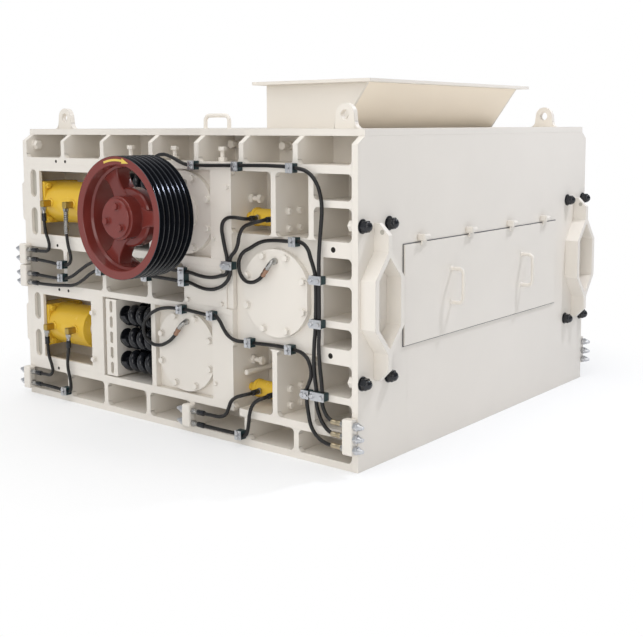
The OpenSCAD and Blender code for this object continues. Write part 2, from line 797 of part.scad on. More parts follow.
// Pack of coil springs, each a solid of revolution with a ridge for every coil
module spring_pack(z) {
    layer_pitch = spring_d + spring_layer_gap;
    for (row = [0:spring_rows - 1]) for (layer = [0:spring_layers - 1])
        translate([yoke_right, front_y + spring_inset + spring_d / 2 + layer * layer_pitch,
                   z + (row - (spring_rows - 1) / 2) * spring_row_pitch]) rotate([0, 90, 0]) spring();
}

module spring() {
    pitch = spring_len / spring_coils;
    root_r = spring_d / 2 - spring_wire;
    ridges = [for (i = [0:spring_coils - 1]) each [
        [root_r, i * pitch],
        [spring_d / 2, (i + 1 / 4) * pitch],
        [spring_d / 2, (i + 3 / 4) * pitch],
    ]];
    rotate_extrude() polygon(concat([[0, 0]], ridges, [[root_r, spring_len], [0, spring_len]]));
}

module upper_springs() {
    color(black) both_ends() spring_pack(up_z);
}

module lower_springs() {
    color(black) both_ends() spring_pack(low_z);
}

// Main cylinders, bolted to the far side plate by their square flanges and bored for the rods
module main_cylinders() {
    color(yellow) both_ends() for (z = slide_zs) difference() {
        union() {
            bar_x(cylinder_y, z, inner_left, cylinder_end, cylinder_d / 2);
            translate([inner_left, cylinder_y - cylinder_flange / 2, z - cylinder_flange / 2])
                cube([cylinder_flange_t, cylinder_flange, cylinder_flange]);
        }
        bar_x(cylinder_y, z, cylinder_end - rod_engage - carriage_travel - move_clear, cylinder_end + over,
              rod_d / 2 + running_fit);
    }
}

// Small return cylinders, bolted to the rib over and under the fixed bearing
module return_cylinders() {
    rib_face = fixed_x - rib_t / 2;
    mid_y = front_y + pocket_d / 2;
    pockets = [[fixed_top, top_rail_z], [right_shelf_top, fixed_low]];
    color(yellow) both_ends() for (pocket = pockets) {
        z = pocket[0] + return_share * (pocket[1] - pocket[0]);
        bar_x(mid_y, z, rib_face - return_len, rib_face, return_d / 2);
        bar_x(mid_y, z, fixed_left, rib_face - return_len, return_rod_d / 2);
    }
}

// Roll with its journals and driven shaft end, turned in one piece; the driven end is the front or the rear
module roll(x, z, front_driven) {
    journal_end = -block_y - move_clear;
    driven_end = -front_y + pulley_out + hub_proud - hub_step;
    outline = [
        [0, -journal_end],
        [journal_d / 2, -journal_end],
        [journal_d / 2, -roll_len / 2],
        [roll_d / 2, -roll_len / 2],
        [roll_d / 2, roll_len / 2],
        [journal_d / 2, roll_len / 2],
        [journal_d / 2, journal_end],
        [drive_d / 2, journal_end],
        [drive_d / 2, driven_end],
        [0, driven_end],
    ];
    translate([x, 0, z]) rotate([front_driven ? 90 : -90, 0, 0]) rotate_extrude() polygon(outline);
}

module upper_roll() {
    color(steel) roll(roll_x, up_z, true);
}

module lower_roll() {
    color(steel) roll(roll_x, low_z, false);
}

module middle_roll() {
    color(steel) roll(fixed_x, mid_z, false);
}

// Belt pulley with a grooved rim, spokes, a web and a hub, on the driven shaft end
module pulley(x, z, front_driven) {
    rim_y = -front_y + pulley_out - pulley_w;
    translate([x, 0, z]) rotate([front_driven ? 90 : -90, 0, 0]) translate([0, 0, rim_y]) difference() {
        union() {
            rotate_extrude() polygon(rim_outline());
            translate([0, 0, pulley_w + hub_proud - hub_len]) cylinder(r = hub_r, h = hub_len);
            translate([0, 0, pulley_w / 2 - spoke_t / 2 + web_step])
                cylinder(r = web_r, h = spoke_t - 2 * web_step);
            for (i = [0:spoke_count - 1]) rotate([0, 0, i * 360 / spoke_count])
                translate([0, -spoke_w / 2, pulley_w / 2 - spoke_t / 2])
                    cube([pulley_d / 2 - rim_depth + over, spoke_w, spoke_t]);
        }
        translate([0, 0, pulley_w + hub_proud - hub_len - over])
            cylinder(d = drive_d + 2 * running_fit, h = hub_len - hub_step + over);
    }
}

// Section of the rim: straight inside, with a row of belt grooves outside
function rim_outline() =
    let (r = pulley_d / 2, pitch = pulley_w / groove_count)
    concat(
        [[r - rim_depth, pulley_w], [r - rim_depth, 0]],
        [for (i = [0:groove_count - 1]) each [
            [r, i * pitch],
            [r, (i + groove_land_share) * pitch],
            [r - groove_depth, (i + groove_root_share) * pitch],
            [r - groove_depth, (i + 1 - groove_root_share) * pitch],
            [r, (i + 1 - groove_land_share) * pitch],
        ]],
        [[r, pulley_w]]
    );

module upper_pulley() {
    color(red_brown) pulley(roll_x, up_z, true);
}

module lower_pulley() {
    color(red_brown) pulley(roll_x, low_z, false);
}

module middle_pulley() {
    color(red_brown) pulley(fixed_x, mid_z, false);
}

// Stiffening brackets on the near side plate: an upright plate that parts round a long hexagon
module wall_brackets() {
    color(cream) for (side = [-1, 1]) translate([right_x, side * bracket_y, bracket_z]) wall_bracket();
}

module hexagon(half_w, side_h, full_h) {
    polygon([[half_w, -side_h / 2], [half_w, side_h / 2], [0, full_h / 2], [-half_w, side_h / 2],
             [-half_w, -side_h / 2], [0, -full_h / 2]]);
}

module wall_bracket() {
    intersection() {
        rotate([90, 0, 90]) linear_extrude(bracket_out) difference() {
            union() {
                hexagon(bracket_half_w + bracket_t, bracket_side_h, bracket_hex_h + 2 * bracket_point);
                square([bracket_t, bracket_h], center = true);
            }
            hexagon(bracket_half_w, bracket_side_h, bracket_hex_h);
        }
        translate([0, bracket_half_w + bracket_t, 0]) rotate([90, 0, 0])
            linear_extrude(2 * (bracket_half_w + bracket_t)) polygon([
                [0, -bracket_h / 2],
                [bracket_out - bracket_corner, -bracket_h / 2],
                [bracket_out, -bracket_h / 2 + bracket_corner],
                [bracket_out, bracket_h / 2 - bracket_corner],
                [bracket_out - bracket_corner, bracket_h / 2],
                [0, bracket_h / 2],
            ]);
    }
}

// Hinge lugs on the near side plate, each with the pin that a door knuckle turns on
module hinge_lugs() {
    color(cream) for (share = hinge_shares) translate([0, door_y + share * door_w, 0]) {
        box([right_x, -lug_plate_w, hinge_z - knuckle_r],
            [hinge_x + knuckle_r, 0, hinge_z + lug_plate_h - knuckle_r]);
        bar_y(hinge_x, hinge_z, 0, hinge_side_gap + knuckle_w, hinge_pin_d / 2);
    }
}

// Inspection door with its four knuckles
module door() {
    face_x = right_x + door_gap;
    color(cream) difference() {
        union() {
            box([face_x, door_y - door_w / 2, door_z],
                [face_x + door_t, door_y + door_w / 2, door_z + door_h]);
            for (share = hinge_shares) translate([0, door_y + share * door_w + hinge_side_gap, 0]) {
                bar_y(hinge_x, hinge_z, 0, knuckle_w, knuckle_r);
                box([hinge_x - knuckle_r, 0, door_z + door_h - knuckle_r],
                    [face_x + door_t, knuckle_w, hinge_z]);
            }
        }
        for (share = hinge_shares) translate([0, door_y + share * door_w, 0])
            bar_y(hinge_x, hinge_z, hinge_side_gap - over, hinge_side_gap + knuckle_w + over,
                  hinge_pin_d / 2 + running_fit);
    }
}

// Bent bar handles on the door
module door_handles() {
    face_x = right_x + door_gap + door_t;
    bar_end = face_x + handle_reach - handle_bar_d / 2;
    color(cream) for (share = handle_shares) translate([0, door_y + share * door_w, door_z + door_h / 2]) {
        for (side = [-1, 1])
            bar_x(0, side * (handle_h - handle_bar_d) / 2, face_x, bar_end, handle_bar_d / 2);
        translate([bar_end, 0, -handle_h / 2]) cylinder(d = handle_bar_d, h = handle_h);
    }
}

// Directions along a hose, and a side direction that is carried on from point to point without a twist
function unit(v) = v / norm(v);
function along(path) = [for (i = [0:len(path) - 1])
    unit(path[min(i + 1, len(path) - 1)] - path[max(i - 1, 0)])];
function carried(ways, i, last) =
    i == len(ways) ? [] :
    let (side = unit(last - (last * ways[i]) * ways[i])) concat([side], carried(ways, i + 1, side));

// A hose as one tube round its points
module hose(path) {
    ways = along(path);
    sides = carried(ways, 0, [0, 0, 1]);
    last = len(path) - 1;
    points = [for (i = [0:last]) for (k = [0:hose_sides - 1])
        let (turn = 360 * k / hose_sides)
        path[i] + hose_d / 2 * (cos(turn) * sides[i] + sin(turn) * cross(ways[i], sides[i]))];
    walls = [for (i = [0:last - 1]) for (k = [0:hose_sides - 1])
        let (a = i * hose_sides + k, b = i * hose_sides + (k + 1) % hose_sides)
        each [[a, a + hose_sides, b], [b, a + hose_sides, b + hose_sides]]];
    start = [for (k = [0:hose_sides - 1]) k];
    end = [for (k = [hose_sides - 1:-1:0]) last * hose_sides + k];
    polyhedron(points, concat(walls, [start, end]));
}

module end_hoses() {
    hose(upper_grease_hose);
    hose(middle_grease_hose);
    hose(lower_grease_hose);
    for (path = concat(upper_port_hoses, lower_port_hoses)) hose(path);
    for (path = concat(upper_return_hoses, lower_return_hoses)) hose(path);
}

module front_hoses() {
    color(rubber) end_hoses();
}

module rear_hoses() {
    color(rubber) mirror([0, 1, 0]) end_hoses();
}

// Clamps that hold the hoses on the frame, each a block with a bore for every hose
module hose_clamp(turn, second) {
    rotate([0, -turn, 0]) difference() {
        box([-clamp_l / 2, -clamp_out, -clamp_w / 2], [clamp_l / 2, 0, second + clamp_w / 2]);
        for (up = second > 0 ? [0, second] : [0])
            bar_x(-clamp_out / 2, up, -clamp_l / 2 - over, clamp_l / 2 + over, hose_d / 2 + clamp_clear);
    }
}

module hose_clamps() {
    color(black) both_ends() {
        for (c = clamps) translate([c[0], front_y, c[1]]) hose_clamp(c[2], c[3]);
        for (share = block_clamp_shares)
            translate([fixed_left + share[0] * (fixed_right - fixed_left), block_y,
                       fixed_low + share[1] * fixed_block_h]) hose_clamp(0, 0);
    }
}

// Blocks on the edges of the frame that the hoses are screwed to
module bulkhead_blocks() {
    color(cream) both_ends() for (b = bulkheads) {
        far_x = b[0] + b[1] * bulkhead_t;
        box([min(b[0], far_x), front_y - clamp_out, b[2]], [max(b[0], far_x), front_y, b[3]]);
    }
}

left_wall();
right_wall_posts();
right_wall_beams();
deck_sides();
deck_ends();
hopper_sides();
hopper_ends();
hopper_rim();
lifting_lugs();
deck_handles();
front_shelves();
rear_shelves();
front_ribs();
rear_ribs();
front_back_plate();
rear_back_plate();
bay_posts();
bay_rails();
stop_columns();
fixed_bearings();
fixed_covers();
main_cylinders();
return_cylinders();
wall_brackets();
hinge_lugs();
door();
door_handles();
upper_blocks();
upper_covers();
upper_yokes();
upper_springs();
upper_roll();
upper_pulley();
lower_blocks();
lower_covers();
lower_yokes();
lower_springs();
lower_roll();
lower_pulley();
middle_roll();
middle_pulley();
front_hoses();
rear_hoses();
hose_clamps();
bulkhead_blocks();
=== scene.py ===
import math
import bmesh
import bpy
from mathutils import Matrix, Vector


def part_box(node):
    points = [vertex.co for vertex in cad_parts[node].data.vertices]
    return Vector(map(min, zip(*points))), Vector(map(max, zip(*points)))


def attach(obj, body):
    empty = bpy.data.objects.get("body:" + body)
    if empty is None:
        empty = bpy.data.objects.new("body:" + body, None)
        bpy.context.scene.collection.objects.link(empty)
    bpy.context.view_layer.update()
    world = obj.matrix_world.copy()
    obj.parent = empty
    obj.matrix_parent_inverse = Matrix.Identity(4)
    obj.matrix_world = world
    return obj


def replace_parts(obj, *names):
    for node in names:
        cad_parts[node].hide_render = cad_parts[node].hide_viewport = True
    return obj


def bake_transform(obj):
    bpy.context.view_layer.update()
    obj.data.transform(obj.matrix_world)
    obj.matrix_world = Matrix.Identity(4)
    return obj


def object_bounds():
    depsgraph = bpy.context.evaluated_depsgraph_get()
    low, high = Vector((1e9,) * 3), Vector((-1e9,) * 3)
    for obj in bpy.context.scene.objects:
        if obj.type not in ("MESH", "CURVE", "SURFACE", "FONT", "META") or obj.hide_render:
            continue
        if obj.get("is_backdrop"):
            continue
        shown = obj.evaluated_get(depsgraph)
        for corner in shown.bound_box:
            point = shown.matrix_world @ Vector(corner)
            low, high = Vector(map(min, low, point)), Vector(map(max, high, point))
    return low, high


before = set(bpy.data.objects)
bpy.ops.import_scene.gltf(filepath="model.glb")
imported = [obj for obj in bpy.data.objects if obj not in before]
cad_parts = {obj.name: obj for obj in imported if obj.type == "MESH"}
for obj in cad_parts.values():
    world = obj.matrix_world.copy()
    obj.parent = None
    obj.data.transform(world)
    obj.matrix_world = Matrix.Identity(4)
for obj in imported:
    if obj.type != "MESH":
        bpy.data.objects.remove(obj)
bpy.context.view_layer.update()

# The view: a long lens in front of the near corner, at about the height of the deck, looking
# slightly down at the front end and the door side.
lens_place = Vector((3.4063, -4.2087, 1.3542))
lens_yaw, lens_pitch, lens_roll = (math.radians(a) for a in (38.571, 6.587, 0.217))
bpy.ops.object.camera_add()
camera = bpy.context.object
camera.matrix_world = (Matrix.Translation(lens_place) @ Matrix.Rotation(lens_yaw, 4, "Z")
                       @ Matrix.Rotation(math.pi / 2 - lens_pitch, 4, "X")
                       @ Matrix.Rotation(-lens_roll, 4, "Z"))
camera.data.sensor_fit = "HORIZONTAL"
camera.data.sensor_width = 36
camera.data.lens = 58.97
camera.data.shift_y = -0.1117
camera.data.clip_end = 200
bpy.context.scene.camera = camera

# The studio: a wide pale floor that keeps the machine's shadow and is plain white further out,
# a bright room that is dimmer and cooler on the door side, and soft lamps over the front and
# the top. On the door side a small lamp high up throws the handles' shadows down the plate.
def add_node(tree, kind, **values):
    node = tree.nodes.new("ShaderNode" + kind)
    for name, value in values.items():
        if hasattr(node, name):
            setattr(node, name, value)
        else:
            node.inputs[name.replace("_", " ")].default_value = value
    return node


def wire(tree, *runs):
    for source, out, target, into in runs:
        tree.links.new(source.outputs[out], target.inputs[into])


def new_finish(name):
    finish = bpy.data.materials.new(name)
    finish.use_nodes = True
    return finish, finish.node_tree, finish.node_tree.nodes["Principled BSDF"]


bpy.context.scene.view_settings.view_transform = "Standard"
bpy.ops.object.select_all(action="DESELECT")
bpy.ops.mesh.primitive_plane_add(size=120)
floor = bpy.context.object
floor.name = "studio_floor"
floor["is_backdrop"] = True
pale, tree, matt = new_finish("pale_floor")
matt.inputs["Base Color"].default_value = (0.9, 0.9, 0.9, 1)
matt.inputs["Roughness"].default_value = 0.9
matt.inputs["Specular IOR Level"].default_value = 0.1
place, ray, glow, mix = (add_node(tree, kind) for kind in ("TexCoord", "LightPath", "Emission", "MixShader"))
reach = add_node(tree, "VectorMath", operation="LENGTH")
fade = add_node(tree, "MapRange", From_Min=1.4, From_Max=2.1, To_Min=0.5)
shown = add_node(tree, "Math", operation="MULTIPLY")
wire(tree, (place, "Object", reach, 0), (reach, "Value", fade, "Value"), (fade, "Result", shown, 0),
     (ray, "Is Camera Ray", shown, 1), (shown, 0, mix, "Fac"), (matt, 0, mix, 1), (glow, 0, mix, 2),
     (mix, 0, tree.nodes["Material Output"], "Surface"))
floor.data.materials.append(pale)

room = bpy.data.worlds.new("studio_room")
bpy.context.scene.world = room
room.use_nodes = True
tree = room.node_tree
even = tree.nodes["Background"]
white = add_node(tree, "Background", Color=(1, 1, 1, 1))
way, ray, axes, choose = (add_node(tree, kind)
                          for kind in ("TexCoord", "LightPath", "SeparateXYZ", "MixShader"))
side = add_node(tree, "MapRange", To_Min=0.92, To_Max=0.27)
dim = add_node(tree, "MapRange", To_Min=1, To_Max=0.55)
strength = add_node(tree, "Math", operation="MULTIPLY")
tint = add_node(tree, "ValToRGB")
tint.color_ramp.elements[0].color = (0.95, 0.97, 1.0, 1)
tint.color_ramp.elements[1].color = (0.88, 0.92, 1.0, 1)
wire(tree, (way, "Generated", axes, 0), (axes, "X", side, "Value"), (axes, "X", tint, "Fac"),
     (tint, "Color", even, "Color"), (ray, "Is Glossy Ray", dim, "Value"), (side, "Result", strength, 0),
     (dim, "Result", strength, 1), (strength, 0, even, "Strength"), (ray, "Is Camera Ray", choose, "Fac"),
     (even, 0, choose, 1), (white, 0, choose, 2), (choose, 0, tree.nodes["World Output"], "Surface"))

for name, place, aim, watts, size, colour in (
        ("lamp_skylight", (2.2, 1.2, 3.6), (1.0, 0, 0.65), 52, 0.15, (0.87, 0.90, 1.0)),
        ("lamp_front", (3.4, -6.4, 2.7), (0.1, -0.9, 0.6), 90, 3.5, (1.0, 0.97, 0.93)),
        ("lamp_overhead", (0.4, -2.6, 6.2), (0, -0.7, 0.6), 120, 5.0, (1.0, 0.98, 0.95))):
    bpy.ops.object.light_add(type="AREA", location=place)
    lamp = bpy.context.object
    lamp.name = name
    lamp.data.energy = watts
    lamp.data.size = size
    lamp.data.color = colour
    lamp.rotation_euler = (Vector(aim) - Vector(place)).to_track_quat("-Z", "Y").to_euler()


def enamel(name, colour, rough, edge=0.0025, shade=0.93):
    finish, tree, shader = new_finish(name)
    place = add_node(tree, "TexCoord")
    cloud = add_node(tree, "TexNoise", Scale=3.2, Detail=5)
    tint = add_node(tree, "Mix", data_type="RGBA", A=(*[c * shade for c in colour], 1), B=(*colour, 1))
    fleck = add_node(tree, "TexNoise", Scale=40, Detail=3)
    gloss = add_node(tree, "MapRange", To_Min=rough - 0.07, To_Max=rough + 0.08)
    peel = add_node(tree, "TexNoise", Scale=260)
    bump = add_node(tree, "Bump", Strength=0.06, Distance=0.002)
    soft = add_node(tree, "Bevel", samples=4, Radius=edge)
    wire(tree, *[(place, "Object", texture, "Vector") for texture in (cloud, fleck, peel)],
         (cloud, "Fac", tint, "Factor"), (tint, "Result", shader, "Base Color"),
         (fleck, "Fac", gloss, "Value"), (gloss, "Result", shader, "Roughness"),
         (peel, "Fac", bump, "Height"), (soft, "Normal", bump, "Normal"), (bump, "Normal", shader, "Normal"))
    return finish


def dress(finish, *names):
    for name in names:
        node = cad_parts[name]
        node.data.materials.clear()
        node.data.materials.append(finish)


cream = enamel("cream_enamel", (0.815, 0.765, 0.69), 0.38)
dress(cream, "left_wall", "right_wall_posts", "right_wall_beams", "deck_sides", "deck_ends",
      "front_shelves", "rear_shelves", "front_ribs", "rear_ribs", "front_back_plate", "rear_back_plate",
      "bay_posts", "bay_rails", "stop_columns", "lifting_lugs", "wall_brackets", "fixed_bearings",
      "fixed_covers", "upper_blocks", "upper_covers", "upper_yokes",
      "lower_blocks", "lower_covers", "lower_yokes", "hopper_ends", "hopper_rim")
# The hopper sides take a lighter, warmer copy of the cream: painted light standing in for the bounce light on
# the slope.
dress(enamel("hopper_painted_light_enamel", (0.96, 0.87, 0.73), 0.42), "hopper_sides")

# Corner webs: the plates between the pockets meet in a rounded weld, so a small curved web fills
# each corner of a pocket at the front and the rear of the machine.
web_r, web_depth = 0.020, 0.024
front_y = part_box("front_ribs")[0].y
inner_left, inner_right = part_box("front_shelves")[0].x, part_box("front_shelves")[1].x
rib_half, rail_top, middle_low, middle_high, base_top = 0.013, 1.201, 0.579, 0.755, 0.030
top_ribs = (-0.7442, -0.4546, -0.1224, 0.1653, 0.4266, 0.7183)
middle_ribs = (-0.7483, -0.4606, -0.1467)
bottom_ribs = (-0.7442, -0.4687, -0.1730, 0.1147)


def pocket_row(first, ribs, last, low, high):
    lefts = [first] + [rib + rib_half for rib in ribs]
    rights = [rib - rib_half for rib in ribs] + [last]
    return [(left, right, low, high) for left, right in zip(lefts, rights)]


pockets = pocket_row(inner_left, top_ribs, inner_right, rail_top, None)
pockets += pocket_row(inner_left, middle_ribs, 0.076, middle_low, middle_high)
pockets += pocket_row(inner_left, bottom_ribs[:3], bottom_ribs[3] - rib_half, base_top, 0.139)
pockets += pocket_row(0.4538, (0.7143,), inner_right, base_top, 0.123)
for low, high in ((0.157, 0.436), (0.904, 1.167)):
    pockets += [(0.3662, 0.5878, low, high), (0.6138, 0.7848, low, high)]
for low, high in ((0.157, 0.264), (0.292, 0.418), (0.904, 1.035), (1.063, 1.167)):
    pockets.append((0.8108, inner_right, low, high))
for low, high in ((0.482, 0.562), (0.590, 0.731), (0.759, 0.840)):
    pockets.append((None, inner_right, low, high))


def outline(points):
    bpy.ops.object.select_all(action="DESELECT")
    bpy.ops.mesh.primitive_plane_add(size=0.001)
    bpy.ops.object.mode_set(mode="EDIT")
    bpy.ops.mesh.select_mode(type="VERT")
    bpy.ops.mesh.select_all(action="SELECT")
    bpy.ops.mesh.merge(type="CENTER")
    bpy.ops.transform.translate(value=points[0])
    for start, end in zip(points, points[1:]):
        step = [b - a for a, b in zip(start, end)]
        bpy.ops.mesh.extrude_vertices_move(TRANSFORM_OT_translate={"value": step})
    bpy.ops.mesh.select_all(action="SELECT")


def plate(points, thickness):
    outline([(x, y, 0) for x, y in points])
    bpy.ops.mesh.edge_face_add()
    bpy.ops.mesh.extrude_region_move(TRANSFORM_OT_translate={"value": (0, 0, thickness)})
    bpy.ops.mesh.select_all(action="SELECT")
    bpy.ops.mesh.normals_make_consistent(inside=False)
    bpy.ops.object.mode_set(mode="OBJECT")
    return bpy.context.object


def on_circle(r, degrees):
    return (r * math.cos(math.radians(degrees)), r * math.sin(math.radians(degrees)))


web_arc = [on_circle(web_r, 11.25 * k) for k in range(9)]
web = plate([(web_r - x, web_r - y) for x, y in web_arc] + [(0, 0)], web_depth)


def copy_at(pattern, matrix):
    copy = pattern.copy()
    copy.data = pattern.data.copy()
    copy.data.transform(matrix)
    if matrix.to_3x3().determinant() < 0:
        copy.data.flip_normals()
    bpy.context.collection.objects.link(copy)
    return copy


def joined(parts):
    bpy.ops.object.select_all(action="DESELECT")
    for part in parts:
        part.select_set(True)
    bpy.context.view_layer.objects.active = parts[0]
    if len(parts) > 1:
        bpy.ops.object.join()
    return bpy.context.object


def fit(parts, name, finish, body="root"):
    piece = joined(parts)
    piece.name = name
    piece.data.materials.clear()
    piece.data.materials.append(finish)
    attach(piece, body)
    return piece


webs = []
for left, right, low, high in pockets:
    corners = [(x, z, turn_x, turn_z) for x, turn_x in ((left, 1), (right, -1))
               for z, turn_z in ((low, 1), (high, -1)) if x is not None and z is not None]
    for x, z, turn_x, turn_z in corners:
        for side in (-1, 1):
            stand = Matrix(((turn_x, 0, 0, x), (0, 0, -side, -side * front_y),
                            (0, turn_z, 0, z), (0, 0, 0, 1)))
            webs.append(copy_at(web, stand))
fit(webs, "pocket_corner_webs", cream)

# Lifting lugs: plates with a round top and an eye, welded to the deck with a wide flare at each side
# of the foot.
lug_low, lug_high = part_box("lifting_lugs")
lug_w, lug_sink, flare_share = 0.105, 0.003, 1.5
flares = []
for side in (-1, 1):
    for middle in (lug_low.x + lug_w / 2, lug_high.x - lug_w / 2):
        for turn in (-1, 1):
            stand = Matrix(((turn * flare_share, 0, 0, middle + turn * (lug_w / 2 - lug_sink)),
                            (0, 0, -side, side * lug_high.y),
                            (0, flare_share, 0, lug_low.z), (0, 0, 0, 1)))
            flares.append(copy_at(web, stand))
bpy.data.objects.remove(web)
fit(flares, "lug_flares", cream)

# The rolls: forged steel, turned on a lathe with their journals, so fine grooves run round them.
# They lie in the bearing blocks and show only under the hopper and behind the open door.
def metal(name, colour, rough, grain=(30, 30, 30), marks=0.12):
    finish, tree, shader = new_finish(name)
    shader.inputs["Metallic"].default_value = 1
    place = add_node(tree, "TexCoord")
    stretch = add_node(tree, "Mapping", Scale=grain)
    streak = add_node(tree, "TexNoise", Scale=1, Detail=4)
    tint = add_node(tree, "Mix", data_type="RGBA", A=(*[c * 0.75 for c in colour], 1), B=(*colour, 1))
    gloss = add_node(tree, "MapRange", To_Min=rough - marks, To_Max=rough + marks)
    wire(tree, (place, "Object", stretch, "Vector"), (stretch, "Vector", streak, "Vector"),
         (streak, "Fac", tint, "Factor"), (tint, "Result", shader, "Base Color"),
         (streak, "Fac", gloss, "Value"), (gloss, "Result", shader, "Roughness"))
    return finish


dress(metal("turned_steel", (0.42, 0.41, 0.40), 0.42, grain=(6, 260, 6)),
      "upper_roll", "middle_roll", "lower_roll")

# Bearing covers: machined discs on the bearing blocks, each held by eight hexagon bolts on washers
# and painted over with the housing. A seal ring closes the covers that a shaft comes through.
upper_axis, lower_axis, middle_axis = (sum(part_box(name + "_roll"), Vector()) / 2
                                       for name in ("upper", "lower", "middle"))
slide_axes = (upper_axis, lower_axis)
cover_y, cover_bolt_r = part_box("fixed_covers")[0].y, 0.163


def soften(piece, edge, steps=2):
    bpy.context.view_layer.objects.active = piece
    rounding = piece.modifiers.new("rounding", "BEVEL")
    rounding.width = edge
    rounding.segments = steps
    rounding.limit_method = "ANGLE"
    bpy.ops.object.modifier_apply(modifier=rounding.name)
    return piece


def hexagon(across, low, high):
    bpy.ops.object.select_all(action="DESELECT")
    bpy.ops.mesh.primitive_cylinder_add(vertices=6, radius=across / math.sqrt(3), depth=high - low,
                                        location=(0, 0, (low + high) / 2))
    head = bpy.context.object
    bpy.ops.object.transform_apply(location=True, rotation=True, scale=True)
    bpy.ops.object.mode_set(mode="EDIT")
    bpy.ops.mesh.select_mode(type="FACE")
    shape = bmesh.from_edit_mesh(head.data)
    for f in shape.faces:
        f.select_set(f.normal.z > 0.9)
    bmesh.update_edit_mesh(head.data)
    bpy.ops.mesh.inset(thickness=across * 0.08)
    bpy.ops.transform.translate(value=(0, 0, (high - low) * 0.1))
    bpy.ops.object.mode_set(mode="OBJECT")
    return soften(head, across * 0.025, 1)


def turned(profile, steps=24):
    outline([(r, 0, z) for r, z in profile])
    bpy.ops.mesh.spin(steps=steps, angle=2 * math.pi, center=(0, 0, 0), axis=(0, 0, 1))
    bpy.ops.mesh.select_all(action="SELECT")
    bpy.ops.mesh.remove_doubles(threshold=1e-6)
    bpy.ops.mesh.normals_make_consistent(inside=False)
    bpy.ops.object.mode_set(mode="OBJECT")
    bpy.ops.object.shade_smooth_by_angle(angle=math.radians(35))
    return bpy.context.object


def hex_bolt(across, head, washer):
    disc = turned([(0, 0), (across * 0.66, 0), (across * 0.66, washer * 0.7), (across * 0.62, washer),
                   (0, washer)])
    return joined([disc, hexagon(across, washer, washer + head)])


def set_out(pattern, name, spots, finish, body="root", ends=(1, -1), keep=False):
    copies = []
    for end in ends:
        for (x, y, z), (a, b, c) in spots:
            turn = Vector((0, 0, 1)).rotation_difference(Vector((a, end * b, c))).to_matrix().to_4x4()
            copies.append(copy_at(pattern, Matrix.Translation((x, end * y, z)) @ turn))
    if not keep:
        bpy.data.objects.remove(pattern)
    return fit(copies, name, finish, body)


facing = Vector((0, -1, 0))
large_bolt = hex_bolt(0.026, 0.012, 0.003)
small_bolt = hex_bolt(0.017, 0.008, 0.002)
for name, axis, body in (("upper_cover_bolts", upper_axis, "upper_carriage"),
                         ("lower_cover_bolts", lower_axis, "lower_carriage"),
                         ("fixed_cover_bolts", middle_axis, "root")):
    spots = [((axis.x + x, cover_y, axis.z + z), facing)
             for x, z in (on_circle(cover_bolt_r, 22.5 + 45 * k) for k in range(8))]
    set_out(large_bolt, name, spots, cream, body, keep=True)

seal = turned([(0.0635, 0), (0.088, 0), (0.088, 0.006), (0.085, 0.008), (0.0635, 0.008), (0.0635, 0)], 48)
for name, axis, way, body in (("upper_shaft_seal", upper_axis, facing, "upper_carriage"),
                              ("lower_shaft_seal", lower_axis, -facing, "lower_carriage"),
                              ("middle_shaft_seal", middle_axis, -facing, "root")):
    set_out(seal, name, [((axis.x, -way.y * cover_y, axis.z), way)], cream, body, ends=(1,), keep=True)
bpy.data.objects.remove(seal)

# Frame bolts: hexagon bolts through the stop columns, the junction plates, the bay plates and the
# ribs, and the nuts of the anchor pads, all painted over with the housing.
plate_spots = [(0.346, 1.097), (0.262, 0.874), (0.346, 0.480), (0.262, 0.244), (0.103, 0.735),
               (0.101, 0.597), (0.306, 0.597), (0.306, 0.735)]
jamb_x, jamb_zs = -0.543, (1.084, 0.858, 0.468, 0.242)
jamb_bolt, wall_bolt = hex_bolt(0.022, 0.016, 0.003), hex_bolt(0.042, 0.020, 0.004)
set_out(small_bolt, "plate_bolts", [((x, front_y, z), facing) for x, z in plate_spots], cream, keep=True)
set_out(jamb_bolt, "jamb_bolts", [((jamb_x, front_y, z), facing) for z in jamb_zs], cream)
to_door = Vector((1, 0, 0))
return_y, return_zs, rib_bolt_out, rib_bolt_up = -0.889, (0.9684, 0.2254), 0.035, 0.036
rib_spots = [((middle_axis.x + rib_half, return_y + out, z + up), to_door) for z in return_zs
             for out in (-rib_bolt_out, rib_bolt_out) for up in (-rib_bolt_up, rib_bolt_up)]
set_out(large_bolt, "rib_bolts", rib_spots, cream, keep=True)
corner_y, corner_z = -0.945, 1.262
tie_y, tie_half, tie_zs = -0.886, 0.089, (0.353, 0.968)
tie_spots = [(tie_y + out, z) for out in (-tie_half, tie_half) for z in tie_zs]
wall_spots = [((inner_left, corner_y, corner_z), to_door)]
wall_spots += [((inner_right, y, z), -to_door) for y, z in tie_spots]
set_out(wall_bolt, "wall_bolts", wall_spots, cream)
pad_x, pad_bolt_out, pad_bolt_up, cylinder_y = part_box("left_wall")[0].x, 0.070, 0.062, -0.881
pad_spots = [((pad_x, cylinder_y + out, axis.z + up), -to_door) for axis in slide_axes
             for out in (-pad_bolt_out, pad_bolt_out) for up in (-pad_bolt_up, pad_bolt_up)]
set_out(large_bolt, "anchor_bolts", pad_spots, cream, keep=True)

